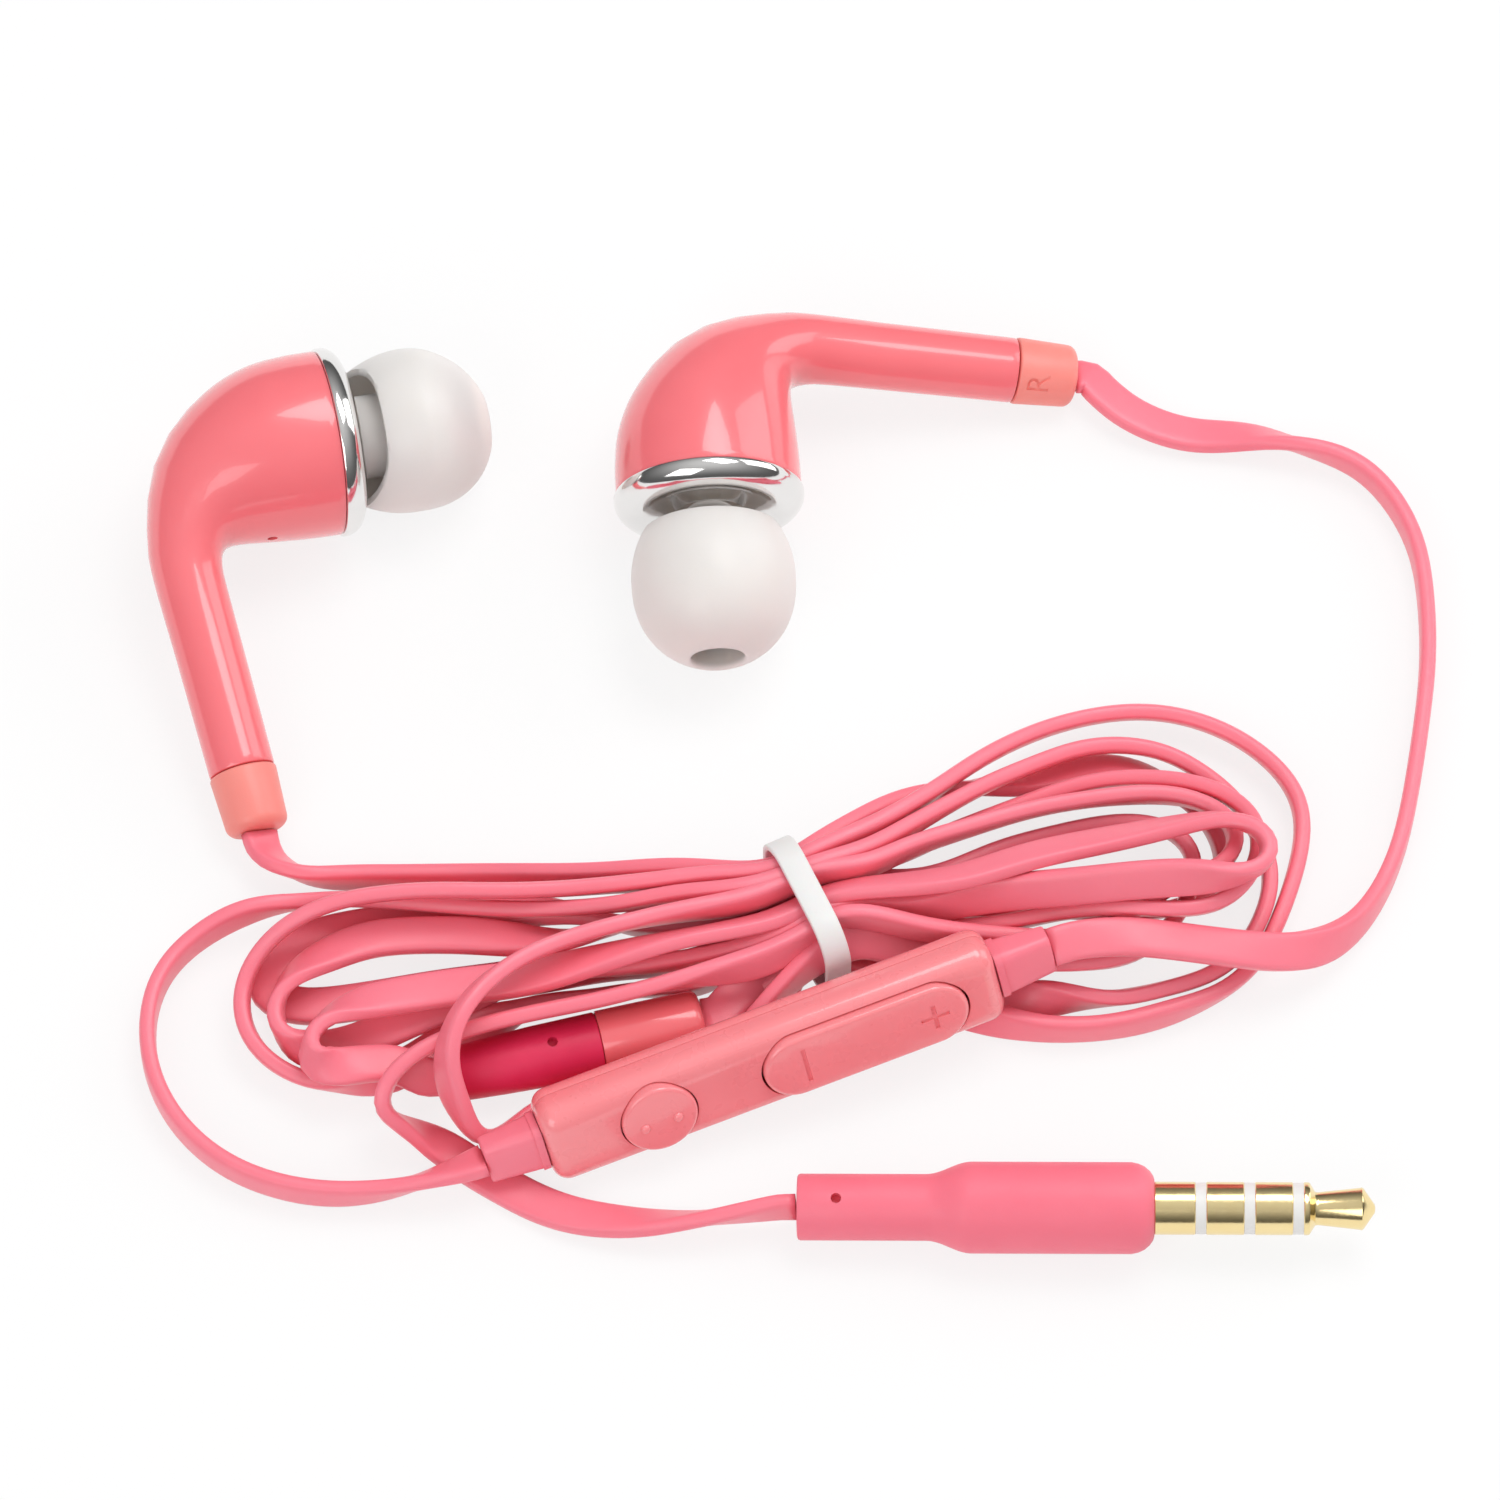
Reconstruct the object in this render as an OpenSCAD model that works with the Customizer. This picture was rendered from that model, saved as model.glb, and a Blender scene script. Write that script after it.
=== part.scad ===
// Wired in-ear earphones with an inline remote, a cable splitter and a four-pole plug.
// The set lies on a table with its flat cable folded into a tied hank. Millimetres, +Z up.
// The origin is on the table, midway between the outer limits of the two earpieces.

/* [Earpiece housings] */
// Diameter of a housing where it meets the front cover
housing_d = 12.7; // [12.2:0.1:13.4]
// Wall of a housing and its stem
housing_wall = 0.9; // [0.7:0.05:1.1]
// Distance of the stem's axis behind the front cover's joint
stem_back = 11.1; // [10.4:0.1:12]
// Diameter of the stem
stem_d = 4.7; // [4.3:0.1:5]
// Distance from the ear axis to the lower end of the stem
stem_reach = 22; // [18:0.2:26]
// How far the stem leans forward, in degrees
stem_splay = 4; // [0:0.5:6]
// Diameter of the rear vent hole
vent_d = 0.7; // [0.4:0.1:1.2]

/* [Stem boots] */
// Length of a stem boot below the stem
boot_len = 4.3; // [3:0.1:6]
// Length of the spigot that holds a boot in its stem
boot_spigot_len = 2.0; // [1:0.1:3]

/* [Front covers] */
// Largest diameter of the bright front cover
cover_d = 13.0; // [12.8:0.1:13.8]
// Length of the cover's rounded shoulder
cover_len = 1.7; // [1.2:0.1:2.2]
// Diameter of the cover's front face
cover_face_d = 9.6; // [8.6:0.1:10.4]
// Outer diameter of the sound nozzle
nozzle_d = 4.2; // [3.8:0.1:4.6]
// Length of the nozzle in front of the cover's face
nozzle_len = 5.3; // [4:0.1:5.8]
// Diameter of the sound bore
nozzle_bore_d = 3.0; // [2.4:0.1:3.2]

/* [Ear tips] */
// Largest diameter of the silicone dome
tip_d = 11.2; // [10:0.2:12.4]
// Length of an ear tip
tip_len = 9.3; // [8.6:0.1:11]
// Wall of the tube that grips the nozzle
tip_core_wall = 0.7; // [0.5:0.05:0.9]
// Wall of the dome
tip_wall = 0.6; // [0.4:0.05:0.8]
// Gap between the left cover's face and its tip
left_tip_gap = 0.2; // [0.2:0.1:1.6]
// Gap between the right cover's face and its tip
right_tip_gap = 1.2; // [0.2:0.1:1.6]

/* [Drivers] */
// Wall of a housing round its driver
seat_wall = 0.75; // [0.65:0.05:0.9]
// Depth of a driver basket
driver_len = 3.5; // [3.2:0.1:4]
// Diameter of the magnet as a share of the driver's
magnet_share = 0.58; // [0.52:0.01:0.62]
// Thickness of the magnet
magnet_t = 0.95; // [0.6:0.05:1]
// Thickness of the front plate on the magnet
plate_t = 0.5; // [0.3:0.05:0.6]
// Wall of the yoke around the voice coil
yoke_wall = 0.45; // [0.3:0.05:0.55]
// Thickness of the diaphragm
diaphragm_t = 0.12; // [0.08:0.02:0.16]
// Travel of the diaphragm each way from rest
diaphragm_stroke = 0.15; // [0.05:0.05:0.15]

/* [Inline remote] */
// Length of the remote's case
remote_len = 32; // [30:0.5:36]
// Width of the case
remote_w = 6.4; // [6.4:0.1:7.4]
// Thickness of the case
remote_t = 4.2; // [4.2:0.1:4.8]
// Radius of the case's long edges
remote_edge_r = 1.6; // [1.2:0.1:1.8]
// Wall of the case
remote_wall = 0.5; // [0.5:0.05:0.6]
// Diameter of the round play button
play_d = 5.2; // [4.4:0.1:5.2]
// Distance of the play button from the middle of the case
play_x = 8.3; // [7.8:0.1:9.5]
// Length of the volume rocker
rocker_len = 14.4; // [12:0.2:14.4]
// Width of the volume rocker
rocker_w = 4.8; // [4:0.1:4.8]
// Distance of the rocker's pivot from the middle of the case
rocker_x = 6.3; // [6:0.1:6.6]
// Height that the buttons stand above the case
button_proud = 0.35; // [0.2:0.05:0.6]
// Travel of a button until its switch clicks
button_travel = 0.25; // [0.15:0.05:0.3]
// Length of the circuit board in the remote
board_len = 27; // [25:0.5:28]
// Length of the sleeves at the ends of the remote
sleeve_len = 4.0; // [3:0.1:5]

/* [Splitter] */
// Outer diameter of the splitter
splitter_d = 4.4; // [4.2:0.1:5]
// Length of the splitter's glossy shell
splitter_len = 7.0; // [5:0.5:7]
// Length of the soft strain relief on the splitter
relief_len = 9.8; // [7:0.2:10.4]

/* [Plug] */
// Diameter of the thick end of the handle
handle_d = 6.05; // [5.6:0.05:6.6]
// Diameter of the thin end of the handle
handle_neck_d = 4.4; // [3.8:0.1:5]
// Length of the handle
handle_len = 23.5; // [20:0.5:26]
// Diameter of the jack
jack_d = 3.5; // [3.5]
// Length of the sleeve contact outside the handle
sleeve_contact_len = 2.7; // [2:0.1:3.4]
// Length of each of the two ring contacts
ring_contact_len = 2.5; // [2:0.1:3]
// Length of each insulating ring
insulator_len = 0.7; // [0.5:0.1:0.9]
// Length of the tip contact
tip_contact_len = 4.7; // [4:0.1:5.2]

/* [Cable and tie] */
// Width of the flat cable
cable_w = 2.6; // [2.2:0.1:2.8]
// Thickness of the flat cable
cable_t = 1.1; // [0.8:0.1:1.2]
// Width of the white tie's band
tie_w = 1.8; // [1.2:0.1:2.6]
// Thickness of the band
tie_t = 0.45; // [0.3:0.05:0.6]

/* [Hidden] */

coral = [0.95, 0.42, 0.46];
salmon = [0.98, 0.52, 0.48];
deep_pink = [0.93, 0.40, 0.50];
crimson = [0.80, 0.10, 0.28];
silicone = [0.93, 0.90, 0.88];
steel = [0.75, 0.76, 0.78];

fit = 0.1;        // running or seating clearance on each side
face = 0.02;      // gap between two faces that rest on each other
eps = 0.01;       // lets a cut run past the face that it opens
$fn = 64;

// Where things lie on the table: place of the cover's joint, turn about Z, tilt and roll
ear_tilt = 5.5;
ear_roll = 12;
ear_z = cover_d / 2 * cos(ear_tilt) + cover_len / 2 * sin(ear_tilt);
left_at = [-19.7, 8.9, ear_z];
left_turn = 13.2;
right_at = [6.4, 4.95, ear_z];
right_turn = -87;

remote_at = [10.4, -36.3, 4.75];
remote_turn = 20.5;
remote_rise = -4.6;
remote_lean = 65;

splitter_at = [-0.8, -34.4, splitter_d / 2 + fit];
splitter_turn = 13.3;

plug_rise = -2;
plug_turn = -1.1;
plug_lift = 0.45;               // the sloping handle stands on its cable end
plug_at = [35.8, -46.9, handle_d / 2 + plug_lift];

hank_foot = 0.15;
hank_top_z = 7.4;
tie_inner_w = 9.3;
tie_inner_h = hank_top_z - hank_foot;
tie_at = [13, -25.8, hank_foot + tie_t + tie_inner_h / 2];
tie_turn = 25;

// Each row is one ring of the housing's bend: how far back its inner and outer points are, as
// shares of the stem's two sides, and how far each has come in from the rim, as shares of
// the housing's diameter. The last ring is square to the stem
bend = [
  [0, 0, 0, 0],
  [0.27, 0.004, 0.17, 0.002],
  [0.54, 0.016, 0.36, 0.03],
  [0.79, 0.028, 0.56, 0.12],
  [0.92, 0.016, 0.77, 0.295],
  [0.98, -0.03, 0.915, 0.525],
  [1, -0.095, 0.985, 0.79],
  [1, -0.18, 1.01, 1.04]
];
stem_rings = [0.35, 0.65, 1];   // shares of the straight stem that have a ring
stem_taper = 0.1;               // how much thinner the stem is at its end, on each side
housing_sides = 32;
cavity_sides = 20;
seat_depth = driver_len + 1.25; // from the joint to the shoulder that carries the driver
bore_d = housing_d - 2 * seat_wall;
driver_d = bore_d - 2 * fit;
magnet_d = driver_d * magnet_share;
boot_spigot_d = stem_d - 2 * stem_taper - 2 * housing_wall + fit;

cover_spigot_len = seat_depth - driver_len - fit;
yoke_floor = 0.5;
coil_gap = 0.42;
yoke_d = magnet_d + 2 * (coil_gap + yoke_wall) + 0.2;
nozzle_tip = cover_len + nozzle_len;
tip_core_d = nozzle_d + fit + 2 * tip_core_wall;

seam_z = -0.3;                  // height of the joint between the two halves of the case
seam_gap = 0.06;
end_wall = 0.8;
case_r = remote_edge_r - 0.3;
floor_z = -remote_t / 2 + remote_wall + 0.1;
ceiling_z = remote_t / 2 - remote_wall - 0.2;
board_t = 0.5;
board_z = floor_z + 0.35;       // underside of the board, on the ribs of the base
board_w = remote_w - 2 * remote_wall - 0.6;
switch_h = 0.5;
dome_h = 0.3;
dome_z = board_z + board_t + switch_h;
nub_z = dome_z + dome_h + button_travel + 0.03;
rocker_arm = rocker_len / 2 - 2.6;
pivot_z = ceiling_z - 0.45;
button_top = remote_t / 2 + button_proud;
mic_x = -3.3;
window_w = 3.2;
window_t = 2.2;

jack_pin_d = 1.2;
handle_taper = [0.36, 0.49];    // shares of the handle where it starts and stops swelling

function spline_point(a, b, c, d, t) =
  ((2 * b) + (c - a) * t + (2 * a - 5 * b + 4 * c - d) * t * t
    + (3 * b - a - 3 * c + d) * t * t * t) / 2;

// Points of a smooth curve through the points p, with n steps between each two
function spline(p, n) = [
  for (i = [0 : len(p) - 2], k = [0 : n - 1])
    spline_point(p[max(i - 1, 0)], p[i], p[i + 1], p[min(i + 2, len(p) - 1)], k / n),
  p[len(p) - 1]
];

// The same for a closed curve
function closed_spline(p, n) = [
  for (i = [0 : len(p) - 1], k = [0 : n - 1])
    spline_point(p[(i - 1 + len(p)) % len(p)], p[i], p[(i + 1) % len(p)],
      p[(i + 2) % len(p)], k / n)
];

function unit(v) = v / norm(v);

// Where a point of a placed part comes to lie: leaned about X, raised about Y, turned about Z
function placed(p, at, turn, rise, lean) = let (
  a = [p.x, p.y * cos(lean) - p.z * sin(lean), p.y * sin(lean) + p.z * cos(lean)],
  b = [a.x * cos(rise) + a.z * sin(rise), a.y, a.z * cos(rise) - a.x * sin(rise)]
) at + [b.x * cos(turn) - b.y * sin(turn), b.x * sin(turn) + b.y * cos(turn), b.z];

module place(at, turn, rise, lean) {
  translate(at) rotate([0, 0, turn]) rotate([0, rise, 0]) rotate([lean, 0, 0]) children();
}

// A solid through a list of rings that hold the same number of points each
module loft(rings) {
  sides = len(rings[0]);
  last = len(rings) - 1;
  walls = [
    for (i = [0 : last - 1], j = [0 : sides - 1])
      let (a = i * sides + j, b = i * sides + (j + 1) % sides, c = a + sides, d = b + sides)
      each [[a, d, b], [a, c, d]]
  ];
  near_end = [for (j = [0 : sides - 1]) j];
  far_end = [for (j = [sides - 1 : -1 : 0]) last * sides + j];
  polyhedron(points = [for (ring = rings) each ring], faces = concat(walls, [near_end, far_end]));
}

// ---- Earpieces: local X runs out to the ear, -Y down the stem ----

stem_from = housing_d * (0.5 - bend[7][1]);
stem_straight = stem_reach - stem_from;
stem_end = [-stem_back + stem_straight * tan(stem_splay), -stem_reach, 0];

// Inner and outer point of each ring, as [x, y, x, y]
function bend_rows() = let (
  rim = housing_d / 2,
  front = stem_back - stem_d / 2,
  back = stem_back + stem_d / 2
) concat(
  [for (row = bend) [
    -front * row[0], -rim + housing_d * row[1],
    -back * row[2], rim - housing_d * row[3]
  ]],
  [for (s = stem_rings) let (
    middle = [-stem_back, -stem_from] * (1 - s) + [stem_end.x, stem_end.y] * s,
    r = stem_d / 2 - stem_taper * s
  ) [
    middle.x + r * cos(stem_splay), middle.y + r * sin(stem_splay),
    middle.x - r * cos(stem_splay), middle.y - r * sin(stem_splay)
  ]]
);

// The ring whose diameter joins a row's two points, made smaller by a wall
function bend_ring(row, wall, sides) = let (
  inner = [row[0], row[1]],
  outer = [row[2], row[3]],
  middle = (inner + outer) / 2,
  across = unit(outer - inner),
  r = norm(outer - inner) / 2 - wall
) [for (k = [0 : sides - 1]) let (a = -360 * k / sides)
  [middle.x + r * cos(a) * across.x, middle.y + r * cos(a) * across.y, r * sin(a)]];

// Local Z runs up the stem from its lower end
module at_stem_end() {
  translate(stem_end) rotate([0, 0, stem_splay]) rotate([-90, 0, 0]) children();
}

module housing() {
  rows = spline(bend_rows(), 3);
  hollow_rows = [for (i = [2 : 2 : len(rows) - 1]) rows[i]];
  color(coral) difference() {
    loft([for (row = rows) bend_ring(row, 0, housing_sides)]);
    loft(concat(
      [for (row = hollow_rows) bend_ring(row, housing_wall, cavity_sides)],
      [[for (p = bend_ring(rows[len(rows) - 1], housing_wall, cavity_sides)) p - [0, 1, 0]]]
    ));
    translate([-seat_depth, 0, 0]) rotate([0, 90, 0]) cylinder(d = bore_d, h = seat_depth + 1);
    at_stem_end() translate([0, 0, -eps])
      cylinder(d = boot_spigot_d + fit, h = boot_spigot_len + fit);
    translate([-stem_back * 0.45, -housing_d / 2 - 1, 0]) rotate([-90, 0, 0])
      cylinder(d = vent_d, h = 3);
  }
}

module stem_boot() {
  r = stem_d / 2 - stem_taper + 0.05;
  tail_r = r - 0.15;
  round_r = 0.7;
  arc = [for (a = [0 : 15 : 90]) [
    tail_r - round_r + round_r * cos(a), -boot_len + round_r - round_r * sin(a)
  ]];
  color(salmon) at_stem_end()
    rotate_extrude() polygon(concat(
      [[0, boot_spigot_len], [boot_spigot_d / 2, boot_spigot_len], [boot_spigot_d / 2, -face],
        [r - 0.1, -face], [r, -0.15]],
      arc, [[0, -boot_len]]
    ));
}

module front_cover() {
  shoulder_r = cover_len - 0.35;
  face_r = cover_face_d / 2;
  shoulder = [for (a = [0 : 15 : 90]) [
    face_r + (cover_d / 2 - face_r) * cos(a), 0.35 + shoulder_r * sin(a)
  ]];
  bead_r = nozzle_d / 2 + 0.04;
  color(steel) rotate([0, 90, 0]) difference() {
    rotate_extrude() polygon(concat(
      [[driver_d / 2 - 1, -cover_spigot_len], [driver_d / 2, -cover_spigot_len],
        [driver_d / 2, face], [cover_d / 2 - 0.15, face], [cover_d / 2, 0.2]],
      shoulder,
      [[nozzle_d / 2 + 1.1, cover_len - 0.25], [nozzle_d / 2 + 0.35, cover_len],
        [nozzle_d / 2, cover_len + 0.35],
        [nozzle_d / 2, nozzle_tip - 1.2], [bead_r, nozzle_tip - 0.9],
        [bead_r, nozzle_tip - 0.5], [nozzle_d / 2 - 0.2, nozzle_tip],
        [nozzle_bore_d / 2, nozzle_tip], [nozzle_bore_d / 2, cover_len - 0.9],
        [driver_d / 2 - 1.2, cover_len - 1.4], [driver_d / 2 - 1.2, 0.1]]
    ));
    translate([0, 0, nozzle_tip - 0.45]) cylinder(d = nozzle_bore_d + 0.5, h = 1);
  }
}

module nozzle_mesh() {
  wire = 0.14;
  pitch = 0.42;
  rows = floor(nozzle_bore_d / 2 / pitch);
  color(steel) translate([nozzle_tip - 0.45 + face, 0, 0]) rotate([0, 90, 0]) {
    difference() {
      cylinder(d = nozzle_bore_d + 0.4, h = 0.2);
      translate([0, 0, -1]) cylinder(d = nozzle_bore_d - 0.4, h = 2);
    }
    intersection() {
      cylinder(d = nozzle_bore_d - 0.1, h = 0.2);
      union() {
        for (i = [-rows : rows]) {
          translate([i * pitch - wire / 2, -nozzle_d, 0.03]) cube([wire, 2 * nozzle_d, wire]);
          translate([-nozzle_d, i * pitch - wire / 2, 0.03]) cube([2 * nozzle_d, wire, wire]);
        }
      }
    }
  }
}

// The dome is two half ellipses round its widest part, open at the rear round the inner tube
module ear_tip(gap) {
  r = tip_d / 2;
  core_r = tip_core_d / 2;
  bore_r = nozzle_d / 2 + 0.09;
  widest = tip_len * 0.37;
  skirt_angle = 33;
  rear = widest / sin(skirt_angle);
  hole_angle = acos((bore_r + 0.35) / r);
  front = (tip_len - widest) / sin(hole_angle);
  join_angle = acos(core_r / (r - tip_wall));
  steps = 8;
  skirt = [for (i = [0 : steps - 1]) let (a = skirt_angle * (i / steps - 1))
    [r * cos(a), widest + (rear - 0.02) * sin(a)]];
  nose = [for (i = [0 : steps]) let (a = hole_angle * i / steps)
    [r * cos(a), widest + front * sin(a)]];
  inner_nose = [for (i = [steps : -1 : 0]) let (a = join_angle * i / steps)
    [(r - tip_wall) * cos(a), widest + (front - tip_wall) * sin(a)]];
  inner_skirt = [for (i = [1 : steps]) let (a = -skirt_angle * i / steps)
    [(r - tip_wall) * cos(a), widest + (rear - 0.02) * sin(a)]];
  color(silicone) translate([cover_len + gap, 0, 0]) rotate([0, 90, 0])
    rotate_extrude() polygon(concat(
      skirt, nose,
      [[bore_r, tip_len - 0.35], [bore_r, 0.25], [bore_r + 0.25, 0], [core_r, 0]],
      inner_nose, inner_skirt
    ));
}

module driver_basket() {
  r = driver_d / 2;
  seat_r = yoke_d / 2 + fit;
  step = driver_len - 1.1;
  color("dimgray") translate([-seat_depth + face, 0, 0]) rotate([0, 90, 0]) difference() {
    cylinder(r = r, h = driver_len);
    translate([0, 0, -1]) cylinder(r = seat_r, h = driver_len + 2);
    translate([0, 0, step]) cylinder(r = r - 0.45, h = driver_len);
    for (a = [0 : 60 : 300])
      rotate([0, 0, a]) translate([r - 0.65, 0, -1]) cylinder(d = 0.5, h = 2.2);
  }
}

yoke_back = -seat_depth + 0.35;

module driver_yoke() {
  depth = yoke_floor + magnet_t + plate_t + 2 * face;
  color(steel) translate([yoke_back, 0, 0]) rotate([0, 90, 0]) difference() {
    cylinder(d = yoke_d, h = depth);
    translate([0, 0, yoke_floor]) cylinder(d = yoke_d - 2 * yoke_wall, h = depth);
  }
}

module driver_magnet() {
  color("gray") translate([yoke_back + yoke_floor + face, 0, 0]) rotate([0, 90, 0])
    cylinder(d = magnet_d, h = magnet_t);
}

module driver_plate() {
  color(steel) translate([yoke_back + yoke_floor + magnet_t + 2 * face, 0, 0])
    rotate([0, 90, 0]) cylinder(d = magnet_d + 0.2, h = plate_t);
}

// The voice coil is the tube behind the diaphragm, in the gap between plate and yoke
module diaphragm() {
  plate_front = yoke_back + yoke_floor + magnet_t + plate_t + 2 * face;
  coil_r = magnet_d / 2 + 0.25;
  rim_r = driver_d / 2 - 0.6;
  sheet = plate_front + 0.3 + diaphragm_stroke;
  color([0.75, 0.62, 0.35]) translate([sheet, 0, 0]) rotate([0, 90, 0]) {
    rotate_extrude() polygon([
      [0, 0.35], [coil_r * 0.6, 0.25], [coil_r + 0.1, 0], [coil_r + 0.5, 0.16],
      [rim_r - 0.25, 0.16], [rim_r, 0],
      [rim_r, diaphragm_t], [rim_r - 0.2, 0.16 + diaphragm_t], [coil_r + 0.5, 0.16 + diaphragm_t],
      [coil_r + 0.1, diaphragm_t + 0.02], [coil_r * 0.6, 0.25 + diaphragm_t],
      [0, 0.35 + diaphragm_t]
    ]);
    translate([0, 0, -1]) difference() {
      cylinder(r = coil_r + 0.1, h = 1.06);
      translate([0, 0, -1]) cylinder(r = coil_r - 0.08, h = 4);
    }
  }
}

module driver_board() {
  color("darkgreen") translate([yoke_back - 0.3 - face, -1.1, -2])
    difference() {
      cube([0.3, 2.2, 4]);
      for (z = [0.8, 3.2])
        translate([-1, 1.1, z]) rotate([0, 90, 0]) cylinder(d = 0.6, h = 2);
    }
}

module on_left() {
  place(left_at, left_turn, ear_tilt, ear_roll) children();
}

module on_right() {
  place(right_at, right_turn, ear_tilt, -ear_roll) mirror([0, 1, 0]) children();
}

module left_housing() { on_left() housing(); }
module left_stem_boot() { on_left() stem_boot(); }
module left_front_cover() { on_left() front_cover(); }
module left_nozzle_mesh() { on_left() nozzle_mesh(); }
module left_ear_tip() { on_left() ear_tip(left_tip_gap); }
module left_driver_basket() { on_left() driver_basket(); }
module left_driver_yoke() { on_left() driver_yoke(); }
module left_driver_magnet() { on_left() driver_magnet(); }
module left_driver_plate() { on_left() driver_plate(); }
module left_diaphragm() { on_left() diaphragm(); }
module left_driver_board() { on_left() driver_board(); }
module right_housing() { on_right() housing(); }
module right_stem_boot() { on_right() stem_boot(); }
module right_front_cover() { on_right() front_cover(); }
module right_nozzle_mesh() { on_right() nozzle_mesh(); }
module right_ear_tip() { on_right() ear_tip(right_tip_gap); }
module right_driver_basket() { on_right() driver_basket(); }
module right_driver_yoke() { on_right() driver_yoke(); }
module right_driver_magnet() { on_right() driver_magnet(); }
module right_driver_plate() { on_right() driver_plate(); }
module right_diaphragm() { on_right() diaphragm(); }
module right_driver_board() { on_right() driver_board(); }

// ---- Inline remote: local X along the case, +Z out of the buttons ----

module on_remote() {
  place(remote_at, remote_turn, remote_rise, remote_lean) children();
}

module rounded_rect(l, w, r) {
  square([l - 2 * r, w], center = true);
  square([l, w - 2 * r], center = true);
  for (x = [-1, 1], y = [-1, 1])
    translate([x * (l / 2 - r), y * (w / 2 - r)]) circle(r = r);
}

module case_solid() {
  intersection() {
    rotate([90, 0, 90]) translate([0, 0, -remote_len / 2])
      linear_extrude(remote_len) rounded_rect(remote_w, remote_t, remote_edge_r);
    translate([0, 0, -remote_t])
      linear_extrude(2 * remote_t) rounded_rect(remote_len, remote_w + 0.4, 1.9);
    rotate([90, 0, 0]) translate([0, 0, -remote_w])
      linear_extrude(2 * remote_w) rounded_rect(remote_len, remote_t + 0.4, 1.5);
  }
}

module case_hollow() {
  inner_len = remote_len - 2 * end_wall;
  height = ceiling_z - floor_z;
  translate([0, 0, floor_z]) linear_extrude(height)
    rounded_rect(inner_len, remote_w - 2 * remote_wall, 1.2);
}

// Keeps the hollow inside the rounded edges of the case
module case_shell() {
  difference() {
    case_solid();
    intersection() {
      case_hollow();
      rotate([90, 0, 90]) translate([0, 0, -remote_len / 2]) linear_extrude(remote_len)
        rounded_rect(remote_w - 2 * remote_wall, remote_t - 2 * remote_wall, case_r);
    }
    cube([remote_len + 2, window_w, window_t], center = true);
  }
}

module remote_cover() {
  color(coral) on_remote() difference() {
    intersection() {
      case_shell();
      translate([-remote_len, -remote_w, seam_z + seam_gap / 2])
        cube([2 * remote_len, 2 * remote_w, remote_t]);
    }
    translate([-play_x, 0, 0]) cylinder(d = play_d + 2 * fit, h = remote_t);
    translate([rocker_x, 0, 0]) linear_extrude(remote_t)
      rounded_rect(rocker_len + 3 * fit, rocker_w + 3 * fit, rocker_w / 2 + fit);
    translate([rocker_x, -remote_w / 2 + 0.25, pivot_z]) rotate([-90, 0, 0])
      cylinder(d = 0.8, h = remote_w - 0.5);
  }
}

module remote_base() {
  color(coral) on_remote() {
    difference() {
      intersection() {
        case_shell();
        translate([-remote_len, -remote_w, seam_z - seam_gap / 2 - remote_t])
          cube([2 * remote_len, 2 * remote_w, remote_t]);
      }
      translate([mic_x, 0, -remote_t]) cylinder(d = 0.8, h = remote_t);
    }
    for (x = [-board_len / 2 + 2, 0.5, board_len / 2 - 2])
      translate([x - 0.4, -1.6, floor_z - 0.05]) cube([0.8, 3.2, board_z - floor_z + 0.05]);
  }
}

module play_button() {
  ear_w = 1.6;
  ear_z = ceiling_z - fit - 0.4;
  color(coral) on_remote() translate([-play_x, 0, 0]) {
    difference() {
      union() {
        translate([0, 0, ear_z]) cylinder(d = play_d, h = button_top - ear_z - 0.2);
        translate([0, 0, button_top - 0.2]) cylinder(d1 = play_d, d2 = play_d - 0.4, h = 0.2);
        translate([-play_d / 2 - 0.5, -ear_w / 2, ear_z]) cube([play_d + 1, ear_w, 0.4]);
      }
      translate([0, 0, ear_z - eps]) cylinder(d = play_d - 1.4, h = 0.5);
    }
    translate([0, 0, nub_z]) cylinder(d = 1, h = ear_z + 0.6 - nub_z);
    for (x = [-1.15, 1.15])
      translate([x, -0.25, button_top - 0.05]) cylinder(d = 0.6, h = 0.15);
  }
}

module volume_rocker() {
  bottom = pivot_z - 0.35;
  mark_w = 0.3;
  mark_len = 2;
  color(coral) on_remote() translate([rocker_x, 0, 0]) {
    difference() {
      union() {
        translate([0, 0, bottom]) linear_extrude(button_top - 0.2 - bottom)
          rounded_rect(rocker_len, rocker_w, rocker_w / 2 - eps);
        translate([0, 0, button_top - 0.2 - eps]) linear_extrude(0.2)
          rounded_rect(rocker_len - 0.4, rocker_w - 0.4, rocker_w / 2 - 0.2 - eps);
      }
      for (angle = [0, 90])
        translate([rocker_len / 2 - 2.4, 0, button_top]) rotate([0, 0, angle])
          cube([mark_len, mark_w, 0.3], center = true);
      translate([-rocker_len / 2 + 2.9, 0, button_top])
        cube([mark_w, mark_len * 1.4, 0.3], center = true);
    }
    for (x = [-rocker_arm, rocker_arm])
      translate([x, 0, nub_z]) cylinder(d = 1, h = bottom + 0.1 - nub_z);
    translate([0, -remote_w / 2 + 0.3, pivot_z]) rotate([-90, 0, 0])
      cylinder(d = 0.7, h = remote_w - 0.6);
  }
}

module remote_board() {
  color("darkgreen") on_remote() translate([0, 0, board_z + face]) linear_extrude(board_t - face)
    difference() {
      square([board_len, board_w], center = true);
      translate([mic_x, 0]) circle(d = 0.7);
    }
}

switch_places = [-play_x, rocker_x - rocker_arm, rocker_x + rocker_arm];

module switch_bodies() {
  color("silver") on_remote()
    for (x = switch_places)
      translate([x - 1.3, -1.3, board_z + board_t + face]) cube([2.6, 2.6, switch_h - face]);
}

module switch_domes() {
  color("gold") on_remote()
    for (x = switch_places)
      translate([x, 0, dome_z + face]) cylinder(d1 = 1.9, d2 = 1.1, h = dome_h - face);
}

module microphone() {
  color("silver") on_remote() translate([mic_x, 0, board_z + board_t + face]) difference() {
    cylinder(d = 2.4, h = 1);
    translate([0, 0, -1]) cylinder(d = 0.6, h = 1.4);
  }
}

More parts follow.
